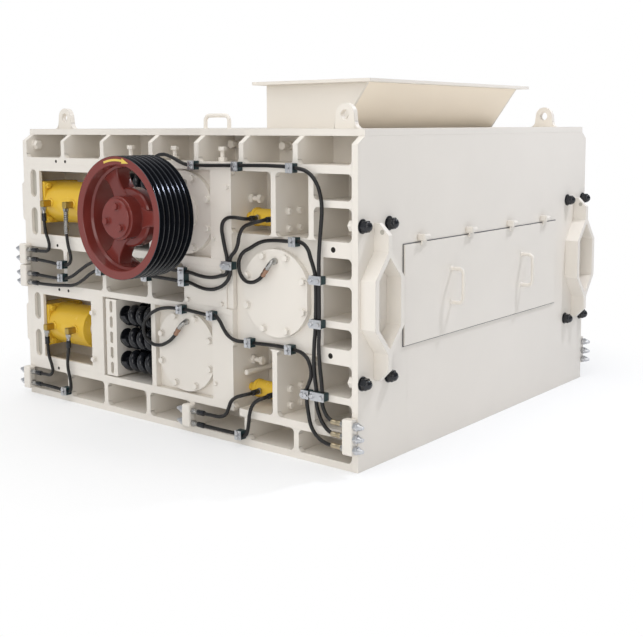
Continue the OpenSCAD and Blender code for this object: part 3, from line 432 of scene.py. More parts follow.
# Jack screws: setting screws with a lock nut, a neck and a hexagon head, painted with the housing.
# They stand on the top rail, the back plate and the stop columns; a round rest bar lies below one.
jack = joined([hexagon(0.034, 0, 0.016),
               turned([(0, 0.015), (0.0105, 0.015), (0.0105, 0.047), (0, 0.047)], 16),
               hexagon(0.034, 0.046, 0.062)])
back_y, column_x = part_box("front_back_plate")[0].y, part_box("stop_columns")[1].x
rail_jack_y, column_jack_y, rest_x, rest_z = -0.940, -0.878, 0.390, 0.300
jack_spots = [((x, rail_jack_y, rail_top), (0, 0, 1)) for x in (-0.323, -0.031, 0.262)]
jack_spots += [((x, back_y, z), facing) for x, z in ((0.210, 1.273), (0.506, 1.268))]
jack_spots += [((column_x, column_jack_y, z), to_door) for z in (1.045, 0.345)]
set_out(jack, "jack_screws", jack_spots, cream)
rest = turned([(0, 0), (0.012, 0), (0.012, 0.172), (0.009, 0.176), (0, 0.176)], 20)
set_out(rest, "rest_bars", [((rest_x, back_y, rest_z), facing)], cream)

# Tapped holes: plain threaded holes in the edges of the shelves, seen as dark dots with a bright
# countersunk edge. Each is a flat disc painted dark: painted shade standing in for the shade inside the hole.
# Near-black metal for the hole discs: painted shade.
hole_shade_paint = metal("tapped_hole_painted_shade", (0.05, 0.045, 0.04), 0.5)
hole = turned([(0, 0.0002), (0.0055, 0.0002), (0.0068, 0.0006), (0.0076, 0)], 16)
hole_spots = [(-0.797, 1.184), (-0.727, 1.184), (-0.806, 0.772), (-0.803, 0.554), (-0.732, 0.554),
              (-0.827, 0.156)]
pad_hole_spots = [(0.908, 0.872), (0.893, 0.450)]
outward = Matrix.Rotation(math.pi / 2, 4, "X")
mirror_y = Matrix.Diagonal((1, -1, 1, 1))


def mirrored(parts):
    return parts + [copy_at(part, mirror_y) for part in parts]


holes = [copy_at(hole, Matrix.Translation((x, front_y, z)) @ outward @ Matrix.Diagonal((size, size, 1, 1)))
         for size, places in ((1, hole_spots), (1.5, pad_hole_spots)) for x, z in places]
fit(mirrored(holes), "tapped_hole_shade_discs", hole_shade_paint)
bpy.data.objects.remove(hole)

# Junction strips: a narrow cream plate closes the slot between each junction plate and the fixed
# bearing block, set a little back.
def rounded_block(low, high, edge, steps=2):
    bpy.ops.object.select_all(action="DESELECT")
    bpy.ops.mesh.primitive_cube_add(size=1, location=(Vector(low) + Vector(high)) / 2)
    block = bpy.context.object
    block.scale = Vector(high) - Vector(low)
    bpy.ops.object.transform_apply(location=True, rotation=True, scale=True)
    return soften(block, edge, steps)


strip_left, strip_right = 0.3332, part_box("fixed_bearings")[0].x
strip_front, strip_back = front_y + 0.006, front_y + 0.030
strip = rounded_block((strip_left, strip_front, middle_low), (strip_right, strip_back, middle_high), 0.002)
fit(mirrored([strip]), "junction_strips", cream)

# Main cylinders: yellow hydraulic cylinders with a square flange, a flat end that the rod comes out of,
# round port bosses at the front and bolts in the flange's corners. A liner lies behind the bay's slots,
# painted a darker cream as painted shade for the shadow inside the slots.
yellow = enamel("yellow_enamel", (0.80, 0.51, 0.045), 0.24)
cylinder_r, cylinder_right, rod_hole_r, rod_hole_d, end_round = 0.102, -0.655, 0.0555, 0.050, 0.004
cylinder_l = cylinder_right - inner_left
barrel = turned([(0, 0), (cylinder_r, 0), (cylinder_r, cylinder_l - end_round),
                 (cylinder_r - 0.3 * end_round, cylinder_l - 0.3 * end_round),
                 (cylinder_r - end_round, cylinder_l), (rod_hole_r, cylinder_l),
                 (rod_hole_r, cylinder_l - rod_hole_d), (0, cylinder_l - rod_hole_d)], 64)
barrel_spots = [((inner_left, cylinder_y, axis.z), to_door) for axis in slide_axes]
barrels = set_out(barrel, "cylinder_barrels", barrel_spots, yellow)
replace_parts(barrels, "main_cylinders")
boss = turned([(0.0, -0.02), (0.023, -0.02), (0.023, 0.004), (0.020, 0.007), (0.0, 0.007)], 24)
port_xs = {"upper": (-0.878, -0.706), "lower": (-0.884, -0.716)}
boss_spots = [((x, cylinder_y - cylinder_r, axis.z), facing)
              for row, axis in (("upper", upper_axis), ("lower", lower_axis)) for x in port_xs[row]]
set_out(boss, "port_bosses", boss_spots, yellow)
flange_half, flange_right, bolt_out = 0.103, -0.918, 0.084
liner_right, liner_half, liner_front, liner_back = -0.9368, 0.165, front_y + 0.016, front_y + 0.018
flanges, liners = [], []
for axis in slide_axes:
    flanges.append(rounded_block((inner_left, cylinder_y - flange_half, axis.z - flange_half),
                                 (flange_right, cylinder_y + flange_half, axis.z + flange_half), 0.003))
    liners.append(rounded_block((inner_left, liner_front, axis.z - liner_half),
                                (liner_right, liner_back, axis.z + liner_half), 0.0005))
# A darker copy of the cream: painted shade, used on the slot liners and the bracket eyes.
painted_shade_enamel = enamel("painted_shade_enamel", (0.47, 0.44, 0.38), 0.5)
fit(mirrored(flanges), "cylinder_flanges", yellow)
fit(mirrored(liners), "slot_liners", painted_shade_enamel)
flange_spots = [((flange_right, cylinder_y + out, axis.z + up), to_door) for axis in slide_axes
                for out in (-bolt_out, bolt_out) for up in (-bolt_out, bolt_out)]
set_out(large_bolt, "flange_bolts", flange_spots, yellow, keep=True)

# Return cylinders: small yellow cylinders beside the fixed bearing, with a rolled ring at each end
# and a thin rod, all in one yellow enamel.
dress(yellow, "return_cylinders")
return_r, return_x = 0.037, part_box("return_cylinders")[1].x
band = turned([(return_r - 0.001, 0), (return_r + 0.003, 0.0015), (return_r + 0.003, 0.016),
               (return_r - 0.001, 0.0175)], 40)
band_spots = [((x, return_y, z), to_door) for z in return_zs for x in (return_x - 0.184, return_x - 0.019)]
set_out(band, "return_cylinder_rings", band_spots, yellow)

# Springs: packs of heavy open coils wound from black round bar, set between each yoke and its
# bearing block in three rows and two layers, each over a guide pin with a seat disc at either end.
black = enamel("black_enamel", (0.012, 0.013, 0.016), 0.15, edge=0.001)
spring_d, bar_d, coils = 0.102, 0.037, 3.5
spring_low, spring_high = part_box("upper_springs")
spring_len = spring_high.x - spring_low.x
cup_t, row_pitch, layer_ys = 0.006, 0.1085, (-0.944, -0.832)
bpy.ops.object.select_all(action="DESELECT")
bpy.ops.mesh.primitive_circle_add(vertices=12, radius=bar_d / 2, rotation=(0, math.pi / 2, 0),
                                  location=(0, (bar_d - spring_d) / 2, bar_d / 2 + cup_t))
coil = bpy.context.object
bpy.ops.object.transform_apply(location=True, rotation=True, scale=True)
winding = coil.modifiers.new("winding", "SCREW")
winding.angle = 2 * math.pi * coils
winding.screw_offset = spring_len - bar_d - 2 * cup_t
winding.steps = winding.render_steps = round(24 * coils)
bpy.ops.object.modifier_apply(modifier="winding")
bpy.ops.object.mode_set(mode="EDIT")
bpy.ops.mesh.select_mode(type="EDGE")
bpy.ops.mesh.select_all(action="DESELECT")
bpy.ops.mesh.select_non_manifold()
bpy.ops.mesh.fill_holes(sides=0)
bpy.ops.mesh.select_all(action="SELECT")
bpy.ops.mesh.normals_make_consistent(inside=False)
bpy.ops.object.mode_set(mode="OBJECT")
bpy.ops.object.shade_smooth_by_angle(angle=math.radians(50))
pin = turned([(0, 0.001), (0.012, 0.001), (0.012, spring_len - 0.001), (0, spring_len - 0.001)], 16)
cup = turned([(0, 0.0005), (0.040, 0.0005), (0.040, cup_t - 0.001), (0.039, cup_t), (0, cup_t)], 32)
far_cup = copy_at(cup, Matrix.Translation((0, 0, spring_len)) @ Matrix.Diagonal((1, 1, -1, 1)))
spring = joined([coil, pin, cup, far_cup])
for name, axis in (("upper", upper_axis), ("lower", lower_axis)):
    spots = [((spring_low.x, y, axis.z + row * row_pitch), to_door) for row in (-1, 0, 1) for y in layer_ys]
    pack = set_out(spring, name + "_spring_coils", spots, black, name + "_carriage", keep=True)
    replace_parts(pack, name + "_springs")
bpy.data.objects.remove(spring)

# Belt pulleys: red-brown cast iron, one on the driven end of each roll. The rim has seven glossy
# black belt grooves between bright edges, three flared spokes and a hub with a bolted cap.
pulley_r, rim_w, rim_inner, groove_r, groove_count = 0.255, 0.189, 0.222, 0.237, 7
hub_r, hub_proud = 0.091, 0.010
spoke_in, spoke_l, spoke_w, spoke_low, spoke_high = 0.078, 0.140, 0.066, 0.0585, 0.1305
groove_pitch = rim_w / groove_count
red_brown = enamel("red_brown_enamel", (0.19, 0.034, 0.027), 0.16, edge=0.002, shade=0.94)
groove_black = enamel("belt_groove", (0.008, 0.009, 0.012), 0.15, edge=0.0005)
bright_edge = metal("bright_edge", (0.075, 0.08, 0.09), 0.24, marks=0.05)

rim_profile = [(rim_inner, 0), (pulley_r - 0.0015, 0), (pulley_r, 0.0015)]
for i in range(groove_count):
    rim_profile += [(pulley_r, (i + 0.09) * groove_pitch), (groove_r, (i + 0.32) * groove_pitch),
                    (groove_r, (i + 0.68) * groove_pitch), (pulley_r, (i + 0.91) * groove_pitch)]
rim_profile += [(pulley_r, rim_w - 0.0015), (pulley_r - 0.0015, rim_w), (rim_inner, rim_w)]
rim_profile += [(rim_inner - 0.003, rim_w - 0.003), (0.2170, 0.146), (0.2080, 0.138), (0.2080, 0.051),
                (0.2170, 0.043), (rim_inner - 0.003, 0.003), (rim_inner, 0)]
rim = turned(rim_profile, 96)
for finish in (red_brown, groove_black, bright_edge):
    rim.data.materials.append(finish)
for face in rim.data.polygons:
    out = math.hypot(face.center.x, face.center.y)
    if out > groove_r - 0.001 and abs(face.normal.z) < 0.97:
        face.material_index = 2 if out > pulley_r - 0.001 else 1

hub = turned([(0.0605, -0.001), (0.088, -0.001), (hub_r, 0.002), (hub_r, 0.184), (0.0885, 0.187),
              (0.083, 0.187), (0.082, 0.190), (0.082, 0.1965), (0.0795, 0.199), (0, 0.199), (0, 0.1975),
              (0.0605, 0.1975), (0.0605, -0.001)], 64)
web_ring = turned([(0.085, 0.0645), (0.116, 0.0645), (0.123, 0.0715), (0.123, 0.1175), (0.116, 0.1245),
                   (0.085, 0.1245), (0.085, 0.0645)], 64)
bpy.ops.object.select_all(action="DESELECT")
bpy.ops.mesh.primitive_cube_add(size=1, location=(spoke_in + spoke_l / 2, 0, (spoke_low + spoke_high) / 2))
spoke = bpy.context.object
spoke.scale = (spoke_l, spoke_w, spoke_high - spoke_low)
bpy.ops.object.transform_apply(location=True, rotation=True, scale=True)
bpy.ops.object.mode_set(mode="EDIT")
bpy.ops.mesh.select_all(action="SELECT")
bpy.ops.mesh.subdivide(number_cuts=9)
shape = bmesh.from_edit_mesh(spoke.data)
for v in shape.verts:
    share = (v.co.x - spoke_in) / spoke_l
    v.co.y *= 1 + 0.5 * max(0, 1 - share / 0.4) ** 2 + 0.9 * max(0, 1 - (1 - share) / 0.4) ** 2
bmesh.update_edit_mesh(spoke.data)
bpy.ops.object.mode_set(mode="OBJECT")
soften(spoke, 0.010, 3)
bpy.ops.object.shade_smooth_by_angle(angle=math.radians(35))
spokes = [copy_at(spoke, Matrix.Rotation(math.radians(120 * k), 4, "Z")) for k in range(3)]
bpy.data.objects.remove(spoke)
casting = joined([hub, web_ring] + spokes)

cap_bolt_r, cap_face = 0.052, 0.1985
cap_spots = [(*on_circle(cap_bolt_r, 75 + 120 * k), cap_face) for k in range(3)]
cap_bolt_ring = joined([copy_at(large_bolt, Matrix.Translation(spot)) for spot in cap_spots])
arrow_paint = enamel("arrow_yellow", (0.75, 0.55, 0.09), 0.4, edge=0.0005)
arrow = plate([on_circle(0.2425, 108 - 3 * k) for k in range(10)]
              + [on_circle(0.2490, 81), on_circle(0.2380, 71), on_circle(0.2270, 81)]
              + [on_circle(0.2335, 81 + 3 * k) for k in range(10)], 0.0006)

for name, axis, side in (("upper", upper_axis, -1), ("middle", middle_axis, 1), ("lower", lower_axis, 1)):
    low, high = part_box(name + "_pulley")
    back = (high.y - hub_proud - rim_w) if side > 0 else (low.y + hub_proud + rim_w)
    stand = Matrix.Translation((axis.x, back, axis.z)) @ Matrix.Rotation(math.radians(-90 * side), 4, "X")
    this_rim = copy_at(rim, stand)
    this_rim.name = name + "_pulley_rim"
    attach(this_rim, name + "_roll")
    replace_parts(this_rim, name + "_pulley")
    fit([copy_at(casting, stand)], name + "_pulley_spokes", red_brown, name + "_roll")
    fit([copy_at(cap_bolt_ring, stand)], name + "_pulley_bolts", red_brown, name + "_roll")
    on_rim = copy_at(arrow, stand @ Matrix.Translation((0, 0, rim_w)))
    fit([on_rim], name + "_pulley_arrow", arrow_paint, name + "_roll")
for pattern in (rim, casting, cap_bolt_ring, arrow):
    bpy.data.objects.remove(pattern)

# Inspection door: one flat steel plate, painted cream, hung by four welded knuckles on pins in the lugs
# of the side plate. A thin grey strip round the door is painted shade: it stands for the shadow line in
# the gap round the door.
wall_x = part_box("right_wall_posts")[1].x
door_low, door_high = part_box("door")
door_top, door_face = door_low.z + 0.416, wall_x + 0.009
hinge_x, hinge_z, hinge_ys = wall_x + 0.024, 0.895, (-0.5812, -0.1985, 0.1733, 0.5085)
knuckle_r, knuckle_l, pin_r, bore_r = 0.011, 0.040, 0.008, 0.0083
along_y = Matrix.Rotation(-math.pi / 2, 4, "X")
sleeve = turned([(bore_r, 0), (knuckle_r, 0), (knuckle_r, knuckle_l), (bore_r, knuckle_l), (bore_r, 0)])
pin = turned([(0, 0), (0.007, 0), (pin_r, 0.001), (pin_r, 0.052), (0.006, 0.054), (0, 0.054)])
door_parts = [rounded_block((wall_x + 0.001, door_low.y, door_low.z),
                            (door_face, door_high.y, door_top), 0.002)]
lugs = []
for y in hinge_ys:
    door_parts.append(copy_at(sleeve, Matrix.Translation((hinge_x, y + 0.0004, hinge_z)) @ along_y))
    door_parts.append(rounded_block((door_face - 0.001, y + 0.0004, door_top - 0.012),
                                    (hinge_x - bore_r - 0.001, y + knuckle_l, hinge_z), 0.0015))
    lugs.append(rounded_block((wall_x, y - 0.011, hinge_z - 0.014),
                              (hinge_x + 0.013, y, hinge_z + 0.014), 0.005, 3))
    lugs.append(copy_at(pin, Matrix.Translation((hinge_x, y - 0.012, hinge_z)) @ along_y))
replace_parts(fit(door_parts, "door_plate", cream, "door"), "door")
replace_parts(fit(lugs, "door_lugs", cream), "hinge_lugs")
near, far = 0.0005, 0.0042
strips = [rounded_block((wall_x, door_low.y - far, low), (wall_x + 0.003, door_high.y + far, high), 0.001)
          for low, high in ((door_low.z - far, door_low.z - near), (door_top + near, door_top + far))]
strips += [rounded_block((wall_x, low, door_low.z - near), (wall_x + 0.003, high, door_top + near), 0.001)
           for low, high in ((door_low.y - far, door_low.y - near), (door_high.y + near, door_high.y + far))]
# The grey of these strips is painted shade for the gap line round the door.
fit(strips, "door_gap_shade_strips", enamel("door_gap_painted_shade", (0.13, 0.13, 0.135), 0.5, edge=0.0005))
for pattern in (sleeve, pin):
    bpy.data.objects.remove(pattern)

# Door handles and deck handles: round bar bent twice, with its feet welded on, and painted cream.
bar_r, bend_r = 0.009, 0.024


def bent(points, bend):
    run = [Vector(points[0])]
    for before, corner, after in zip(points, points[1:], points[2:]):
        corner = Vector(corner)
        leave = (Vector(before) - corner).normalized()
        arrive = (Vector(after) - corner).normalized()
        centre = corner + (leave + arrive) * bend
        for k in range(7):
            a = k * math.pi / 12
            run.append(centre - arrive * bend * math.cos(a) - leave * bend * math.sin(a))
    return run + [Vector(points[-1])]


def tube(name, points, radius, steps=6, sides=3):
    line = bpy.data.curves.new(name, "CURVE")
    line.dimensions = "3D"
    line.bevel_depth = radius
    line.bevel_resolution = sides
    line.use_fill_caps = True
    line.resolution_u = steps
    run = line.splines.new("BEZIER")
    run.bezier_points.add(len(points) - 1)
    for knot, point in zip(run.bezier_points, points):
        knot.co = point
        knot.handle_left_type = knot.handle_right_type = "AUTO"
    piece = bpy.data.objects.new(name, line)
    bpy.context.collection.objects.link(piece)
    bpy.ops.object.select_all(action="DESELECT")
    piece.select_set(True)
    bpy.context.view_layer.objects.active = piece
    bpy.ops.object.convert(target="MESH")
    return bpy.context.object


foot = turned([(0, 0), (0.0125, 0), (0.0115, 0.0025), (0.0075, 0.006), (0, 0.006)], 20)


def handle_bar(ends, foot_turn):
    bar = tube("bar", bent(ends, bend_r), bar_r, steps=2, sides=4)
    return [bar] + [copy_at(foot, Matrix.Translation(end) @ foot_turn) for end in (ends[0], ends[-1])]


low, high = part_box("door_handles")
door_bars, deck_bars = [], []
for y in (low.y + bar_r, high.y - bar_r):
    ends = [(door_face, y, low.z + bar_r), (high.x, y, low.z + bar_r), (high.x, y, high.z - bar_r),
            (door_face, y, high.z - bar_r)]
    door_bars += handle_bar(ends, Matrix.Rotation(math.pi / 2, 4, "Y"))
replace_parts(fit(door_bars, "door_handle_bars", cream, "door"), "door_handles")

low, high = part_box("deck_handles")
bar_top, leg_in = high.z - bar_r, bar_r + 0.002
for y in (low.y + bar_r, high.y - bar_r):
    ends = [(low.x + leg_in, y, low.z), (low.x + leg_in, y, bar_top), (high.x - leg_in, y, bar_top),
            (high.x - leg_in, y, low.z)]
    deck_bars += handle_bar(ends, Matrix())
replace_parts(fit(deck_bars, "deck_handle_bars", cream), "deck_handles")
bpy.data.objects.remove(foot)

# Wall nuts: black cap nuts on the tie bolts that come through the near side plate beside each
# stiffening bracket.
dome = turned([(0, 0), (0.029, 0), (0.029, 0.003), (0.020, 0.004), (0.020, 0.028), (0.0175, 0.036),
               (0.010, 0.042), (0, 0.044)], 24)
cap_nut = joined([dome, hexagon(0.045, 0.003, 0.026)])
set_out(cap_nut, "wall_nuts", [((wall_x, y, z), to_door) for y, z in tie_spots], black)

# Bracket eyes: a small hole is drilled through the top of each stiffening bracket and countersunk on
# both faces, so it shows as a ring with a shaded inside. Each eye is a flat disc in the darker liner
# cream, which is painted shade for the inside of the hole.
bracket_low, bracket_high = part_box("wall_brackets")
bracket_y, web_half, eye_out, eye_drop = bracket_high.y - 0.099, 0.0125, 0.039, 0.033
eye = turned([(0, 0.0003), (0.0070, 0.0003), (0.0085, 0.0010), (0.0100, 0)], 20)
eye_spots = [((bracket_low.x + eye_out, y + way.y * web_half, bracket_high.z - eye_drop), way)
             for y in (-bracket_y, bracket_y) for way in (facing, -facing)]
set_out(eye, "bracket_eyes", eye_spots, painted_shade_enamel, ends=(1,))

# Hose clamps: two halves of dark moulded plastic under a zinc-plated cover plate, bolted to the
# frame with a hexagon bolt at each hose.
clamp_plastic = enamel("clamp_plastic", (0.010, 0.036, 0.042), 0.36, edge=0.001)
zinc = metal("zinc_plate", (0.70, 0.71, 0.73), 0.34)
clamp_half_l, clamp_half_w, clamp_out, half_l = 0.018, 0.020, 0.037, 0.0165
block_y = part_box("fixed_bearings")[0].y
clamp_places = [(0.165, 1.186, 0, 0), (0.419, 1.186, 0, 0), (0.714, 1.186, 0, 0), (0.376, 0.770, 90, 0.019),
                (0.092, 0.677, 0, 0.045), (-0.147, 0.677, 0, 0.045), (-0.461, 0.677, 0, 0.045),
                (0.076, 0.553, 0, 0), (0.262, 0.545, 0, 0), (0.852, 0.750, 90, 0.019),
                (0.852, 0.576, 90, 0.019), (0.866, 0.285, 90, 0.030), (0.788, 0.285, 90, 0),
                (-0.748, 0.684, 0, 0), (-0.748, 0.620, 0, 0), (-0.748, 0.057, 0, 0), (0.420, 0.050, 0, 0)]
block_clamp_places = [(0.453, 0.446, 0, 0), (0.675, 0.446, 0, 0), (0.701, 0.889, 0, 0)]

bodies, covers = {}, {}
for second in (0, 0.019, 0.030, 0.045):
    low, high = -clamp_half_w, second + clamp_half_w
    inner = rounded_block((-half_l, -0.0193, low + 0.001), (half_l, 0, high - 0.001), 0.002)
    outer = rounded_block((-half_l, -0.0340, low + 0.001), (half_l, -0.0207, high - 0.001), 0.002)
    core = rounded_block((-half_l + 0.0015, -0.030, low + 0.004),
                         (half_l - 0.0015, -0.010, high - 0.004), 0.001)
    bodies[second] = joined([inner, outer, core])
    cover = rounded_block((-clamp_half_l, -clamp_out, low), (clamp_half_l, -0.0335, high), 0.0012)
    head_zs = (low + 0.011, high - 0.011) if second < 0.040 else (0, second)
    heads = [copy_at(small_bolt, Matrix.Translation((0, -clamp_out, z)) @ outward) for z in head_zs]
    covers[second] = joined([cover] + heads)
clamp_bodies, clamp_covers = [], []
for places, y in ((clamp_places, front_y), (block_clamp_places, block_y)):
    for x, z, turn, second in places:
        stand = Matrix.Translation((x, y, z)) @ Matrix.Rotation(math.radians(-turn), 4, "Y")
        clamp_bodies.append(copy_at(bodies[second], stand))
        clamp_covers.append(copy_at(covers[second], stand))
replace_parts(fit(mirrored(clamp_bodies), "clamp_bodies", clamp_plastic), "hose_clamps")
fit(mirrored(clamp_covers), "clamp_covers", zinc)
for pattern in (*bodies.values(), *covers.values()):
    bpy.data.objects.remove(pattern)

# Bulkhead blocks: cream blocks with rounded corners on the edges of the frame, where the hoses are
# screwed on. A plugged stud for the supply lines stands out of the other side of each block.
bulkhead_l, bulkhead_out = 0.050, 0.040
bulkheads = [(-1.016, -1, 0.667, 0.769), (-1.016, -1, 0.554, 0.663), (-1.016, -1, 0.030, 0.142),
             (0.134, -1, 0.032, 0.132), (0.976, 1, 0.075, 0.219)]
blocks = []
for x, side, low, high in bulkheads:
    far_x = x + side * bulkhead_l
    blocks.append(rounded_block((min(x, far_x), front_y - bulkhead_out, low), (max(x, far_x), front_y, high),
                                0.008, 3))
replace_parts(fit(mirrored(blocks), "hose_bulkheads", cream), "bulkhead_blocks")

# Hoses: black rubber hydraulic and grease hoses of one size, each clipped to the frame and smooth
# between its own points. The two that end on a sliding bearing are split into a fixed run and a loose loop.
rubber = enamel("hose_rubber", (0.008, 0.007, 0.007), 0.4, edge=0.0005)
hose_r = 0.008
upper_grease_hose = [
    (0.086, -0.998, 1.110), (0.086, -1.011, 1.110), (0.081, -1.021, 1.104), (0.062, -1.023, 1.085),
    (0.020, -1.023, 1.060), (-0.040, -1.023, 1.052), (-0.090, -1.023, 1.076), (-0.115, -1.023, 1.125),
    (-0.105, -1.023, 1.180), (-0.065, -1.023, 1.219), (-0.015, -1.023, 1.229), (0.040, -1.023, 1.216),
    (0.100, -1.023, 1.194), (0.140, -1.023, 1.186), (0.740, -1.023, 1.186), (0.800, -1.023, 1.170),
    (0.840, -1.023, 1.132), (0.862, -1.023, 1.080), (0.868, -1.023, 1.030), (0.864, -1.023, 0.970),
    (0.857, -1.023, 0.900), (0.852, -1.023, 0.830), (0.852, -1.023, 0.775), (0.852, -1.023, 0.550),
    (0.850, -1.023, 0.480), (0.856, -1.023, 0.400), (0.866, -1.023, 0.315), (0.866, -1.023, 0.262),
    (0.877, -1.023, 0.230), (0.900, -1.023, 0.203), (0.935, -1.023, 0.193), (0.976, -1.023, 0.193)]
middle_grease_hose = [
    (0.605, -0.998, 0.804), (0.605, -1.011, 0.804), (0.600, -1.021, 0.797), (0.580, -1.023, 0.772),
    (0.556, -1.023, 0.742), (0.528, -1.023, 0.721), (0.490, -1.023, 0.709), (0.456, -1.023, 0.716),
    (0.432, -1.023, 0.742), (0.420, -1.018, 0.772), (0.417, -1.010, 0.800), (0.430, -1.003, 0.826),
    (0.466, -0.997, 0.848), (0.522, -0.993, 0.876), (0.584, -0.993, 0.887), (0.660, -0.993, 0.889),
    (0.735, -0.993, 0.889), (0.780, -1.005, 0.868), (0.808, -1.018, 0.830), (0.826, -1.023, 0.795),
    (0.833, -1.023, 0.772), (0.833, -1.023, 0.550), (0.828, -1.023, 0.500), (0.825, -1.023, 0.430),
    (0.829, -1.023, 0.360), (0.836, -1.023, 0.312), (0.836, -1.023, 0.262), (0.845, -1.023, 0.225),
    (0.870, -1.023, 0.178), (0.902, -1.023, 0.151), (0.940, -1.023, 0.144), (0.976, -1.023, 0.144)]
lower_grease_hose = [
    (0.086, -0.998, 0.494), (0.086, -1.011, 0.494), (0.081, -1.021, 0.488), (0.060, -1.023, 0.465),
    (0.030, -1.023, 0.428), (-0.022, -1.023, 0.390), (-0.082, -1.023, 0.372), (-0.131, -1.023, 0.380),
    (-0.168, -1.023, 0.414), (-0.168, -1.023, 0.456), (-0.140, -1.023, 0.496), (-0.092, -1.023, 0.528),
    (-0.030, -1.023, 0.547), (0.045, -1.023, 0.553), (0.110, -1.023, 0.553), (0.235, -1.023, 0.545),
    (0.287, -1.023, 0.545), (0.310, -1.023, 0.526), (0.330, -1.023, 0.498), (0.356, -1.020, 0.468),
    (0.384, -1.010, 0.451), (0.425, -0.993, 0.446), (0.710, -0.993, 0.446), (0.765, -1.007, 0.436),
    (0.800, -1.020, 0.408), (0.810, -1.023, 0.365), (0.797, -1.023, 0.325), (0.788, -1.023, 0.305),
    (0.788, -1.023, 0.260), (0.796, -1.023, 0.205), (0.813, -1.023, 0.150), (0.850, -1.023, 0.113),
    (0.895, -1.023, 0.098), (0.976, -1.023, 0.098)]
upper_port_hoses = [
    [(-0.878, -0.984, 0.978), (-0.878, -0.998, 0.978), (-0.878, -1.014, 0.970), (-0.878, -1.023, 0.950),
     (-0.878, -1.023, 0.905), (-0.868, -1.023, 0.835), (-0.850, -1.023, 0.795), (-0.845, -1.023, 0.768),
     (-0.858, -1.023, 0.746), (-0.890, -1.023, 0.741), (-1.016, -1.023, 0.741)],
    [(-0.706, -0.984, 0.978), (-0.706, -0.998, 0.978), (-0.706, -1.014, 0.970), (-0.706, -1.023, 0.950),
     (-0.707, -1.023, 0.850), (-0.697, -1.023, 0.780), (-0.682, -1.023, 0.738), (-0.683, -1.023, 0.708),
     (-0.702, -1.023, 0.689), (-0.727, -1.023, 0.684), (-0.775, -1.023, 0.684), (-0.850, -1.023, 0.690),
     (-0.950, -1.023, 0.694), (-1.016, -1.023, 0.694)]]
lower_port_hoses = [
    [(-0.884, -0.984, 0.362), (-0.884, -0.998, 0.362), (-0.884, -1.014, 0.354), (-0.884, -1.023, 0.334),
     (-0.884, -1.023, 0.285), (-0.875, -1.023, 0.215), (-0.855, -1.023, 0.170), (-0.850, -1.023, 0.143),
     (-0.866, -1.023, 0.122), (-0.905, -1.023, 0.117), (-1.016, -1.023, 0.117)],
    [(-0.716, -0.984, 0.362), (-0.716, -0.998, 0.362), (-0.716, -1.014, 0.354), (-0.716, -1.023, 0.334),
     (-0.718, -1.023, 0.275), (-0.730, -1.023, 0.190), (-0.716, -1.023, 0.125), (-0.710, -1.023, 0.090),
     (-0.714, -1.023, 0.066), (-0.727, -1.023, 0.057), (-0.775, -1.023, 0.057), (-0.850, -1.023, 0.060),
     (-1.016, -1.023, 0.060)]]
upper_return_hoses = [
    [(0.450, -0.927, 0.968), (0.450, -0.985, 0.968), (0.445, -1.005, 0.969), (0.428, -1.018, 0.972),
     (0.400, -1.023, 0.974), (0.362, -1.023, 0.969), (0.338, -1.023, 0.952), (0.330, -1.023, 0.925),
     (0.336, -1.023, 0.885), (0.347, -1.023, 0.840), (0.357, -1.023, 0.802), (0.357, -1.023, 0.742),
     (0.348, -1.023, 0.730), (0.320, -1.023, 0.722), (0.280, -1.023, 0.712), (0.240, -1.023, 0.709),
     (0.190, -1.023, 0.712), (0.135, -1.023, 0.721), (0.115, -1.023, 0.722), (-0.485, -1.023, 0.722),
     (-0.535, -1.023, 0.708), (-0.610, -1.023, 0.670), (-0.680, -1.023, 0.632), (-0.725, -1.023, 0.620),
     (-1.016, -1.023, 0.620)],
    [(0.540, -0.927, 0.968), (0.540, -0.985, 0.968), (0.536, -1.005, 0.965), (0.520, -1.018, 0.960),
     (0.492, -1.023, 0.952), (0.452, -1.023, 0.934), (0.430, -1.023, 0.900), (0.420, -1.023, 0.862),
     (0.404, -1.023, 0.832), (0.384, -1.023, 0.813), (0.376, -1.023, 0.799), (0.376, -1.023, 0.742),
     (0.368, -1.023, 0.720), (0.345, -1.023, 0.692), (0.300, -1.023, 0.667), (0.245, -1.023, 0.657),
     (0.190, -1.023, 0.662), (0.135, -1.023, 0.675), (0.115, -1.023, 0.677), (-0.485, -1.023, 0.677),
     (-0.530, -1.023, 0.661), (-0.595, -1.023, 0.622), (-0.660, -1.023, 0.593), (-0.742, -1.023, 0.583),
     (-0.860, -1.023, 0.576), (-1.016, -1.023, 0.576)]]
lower_return_hoses = [
    [(0.450, -0.927, 0.225), (0.450, -0.985, 0.225), (0.445, -1.005, 0.224), (0.428, -1.018, 0.219),
     (0.400, -1.023, 0.208), (0.370, -1.023, 0.185), (0.354, -1.023, 0.152), (0.338, -1.023, 0.124),
     (0.308, -1.023, 0.109), (0.250, -1.023, 0.105), (0.134, -1.023, 0.105)],
    [(0.540, -0.927, 0.225), (0.540, -0.985, 0.225), (0.536, -1.005, 0.222), (0.520, -1.018, 0.214),
     (0.498, -1.023, 0.195), (0.478, -1.023, 0.155), (0.470, -1.023, 0.110), (0.464, -1.023, 0.078),
     (0.456, -1.023, 0.058), (0.446, -1.023, 0.050), (0.393, -1.023, 0.050), (0.134, -1.023, 0.050)]]

hose_names = ["middle_grease", "upper_port_far", "upper_port_near", "lower_port_far", "lower_port_near",
              "upper_return_near", "upper_return_far", "lower_return_near", "lower_return_far"]
port_routes = upper_port_hoses + lower_port_hoses
return_routes = upper_return_hoses + lower_return_hoses
hose_routes = [middle_grease_hose] + port_routes + return_routes


def at_end(points, side):
    return [Vector((x, -side * y, z)) for x, y, z in points]


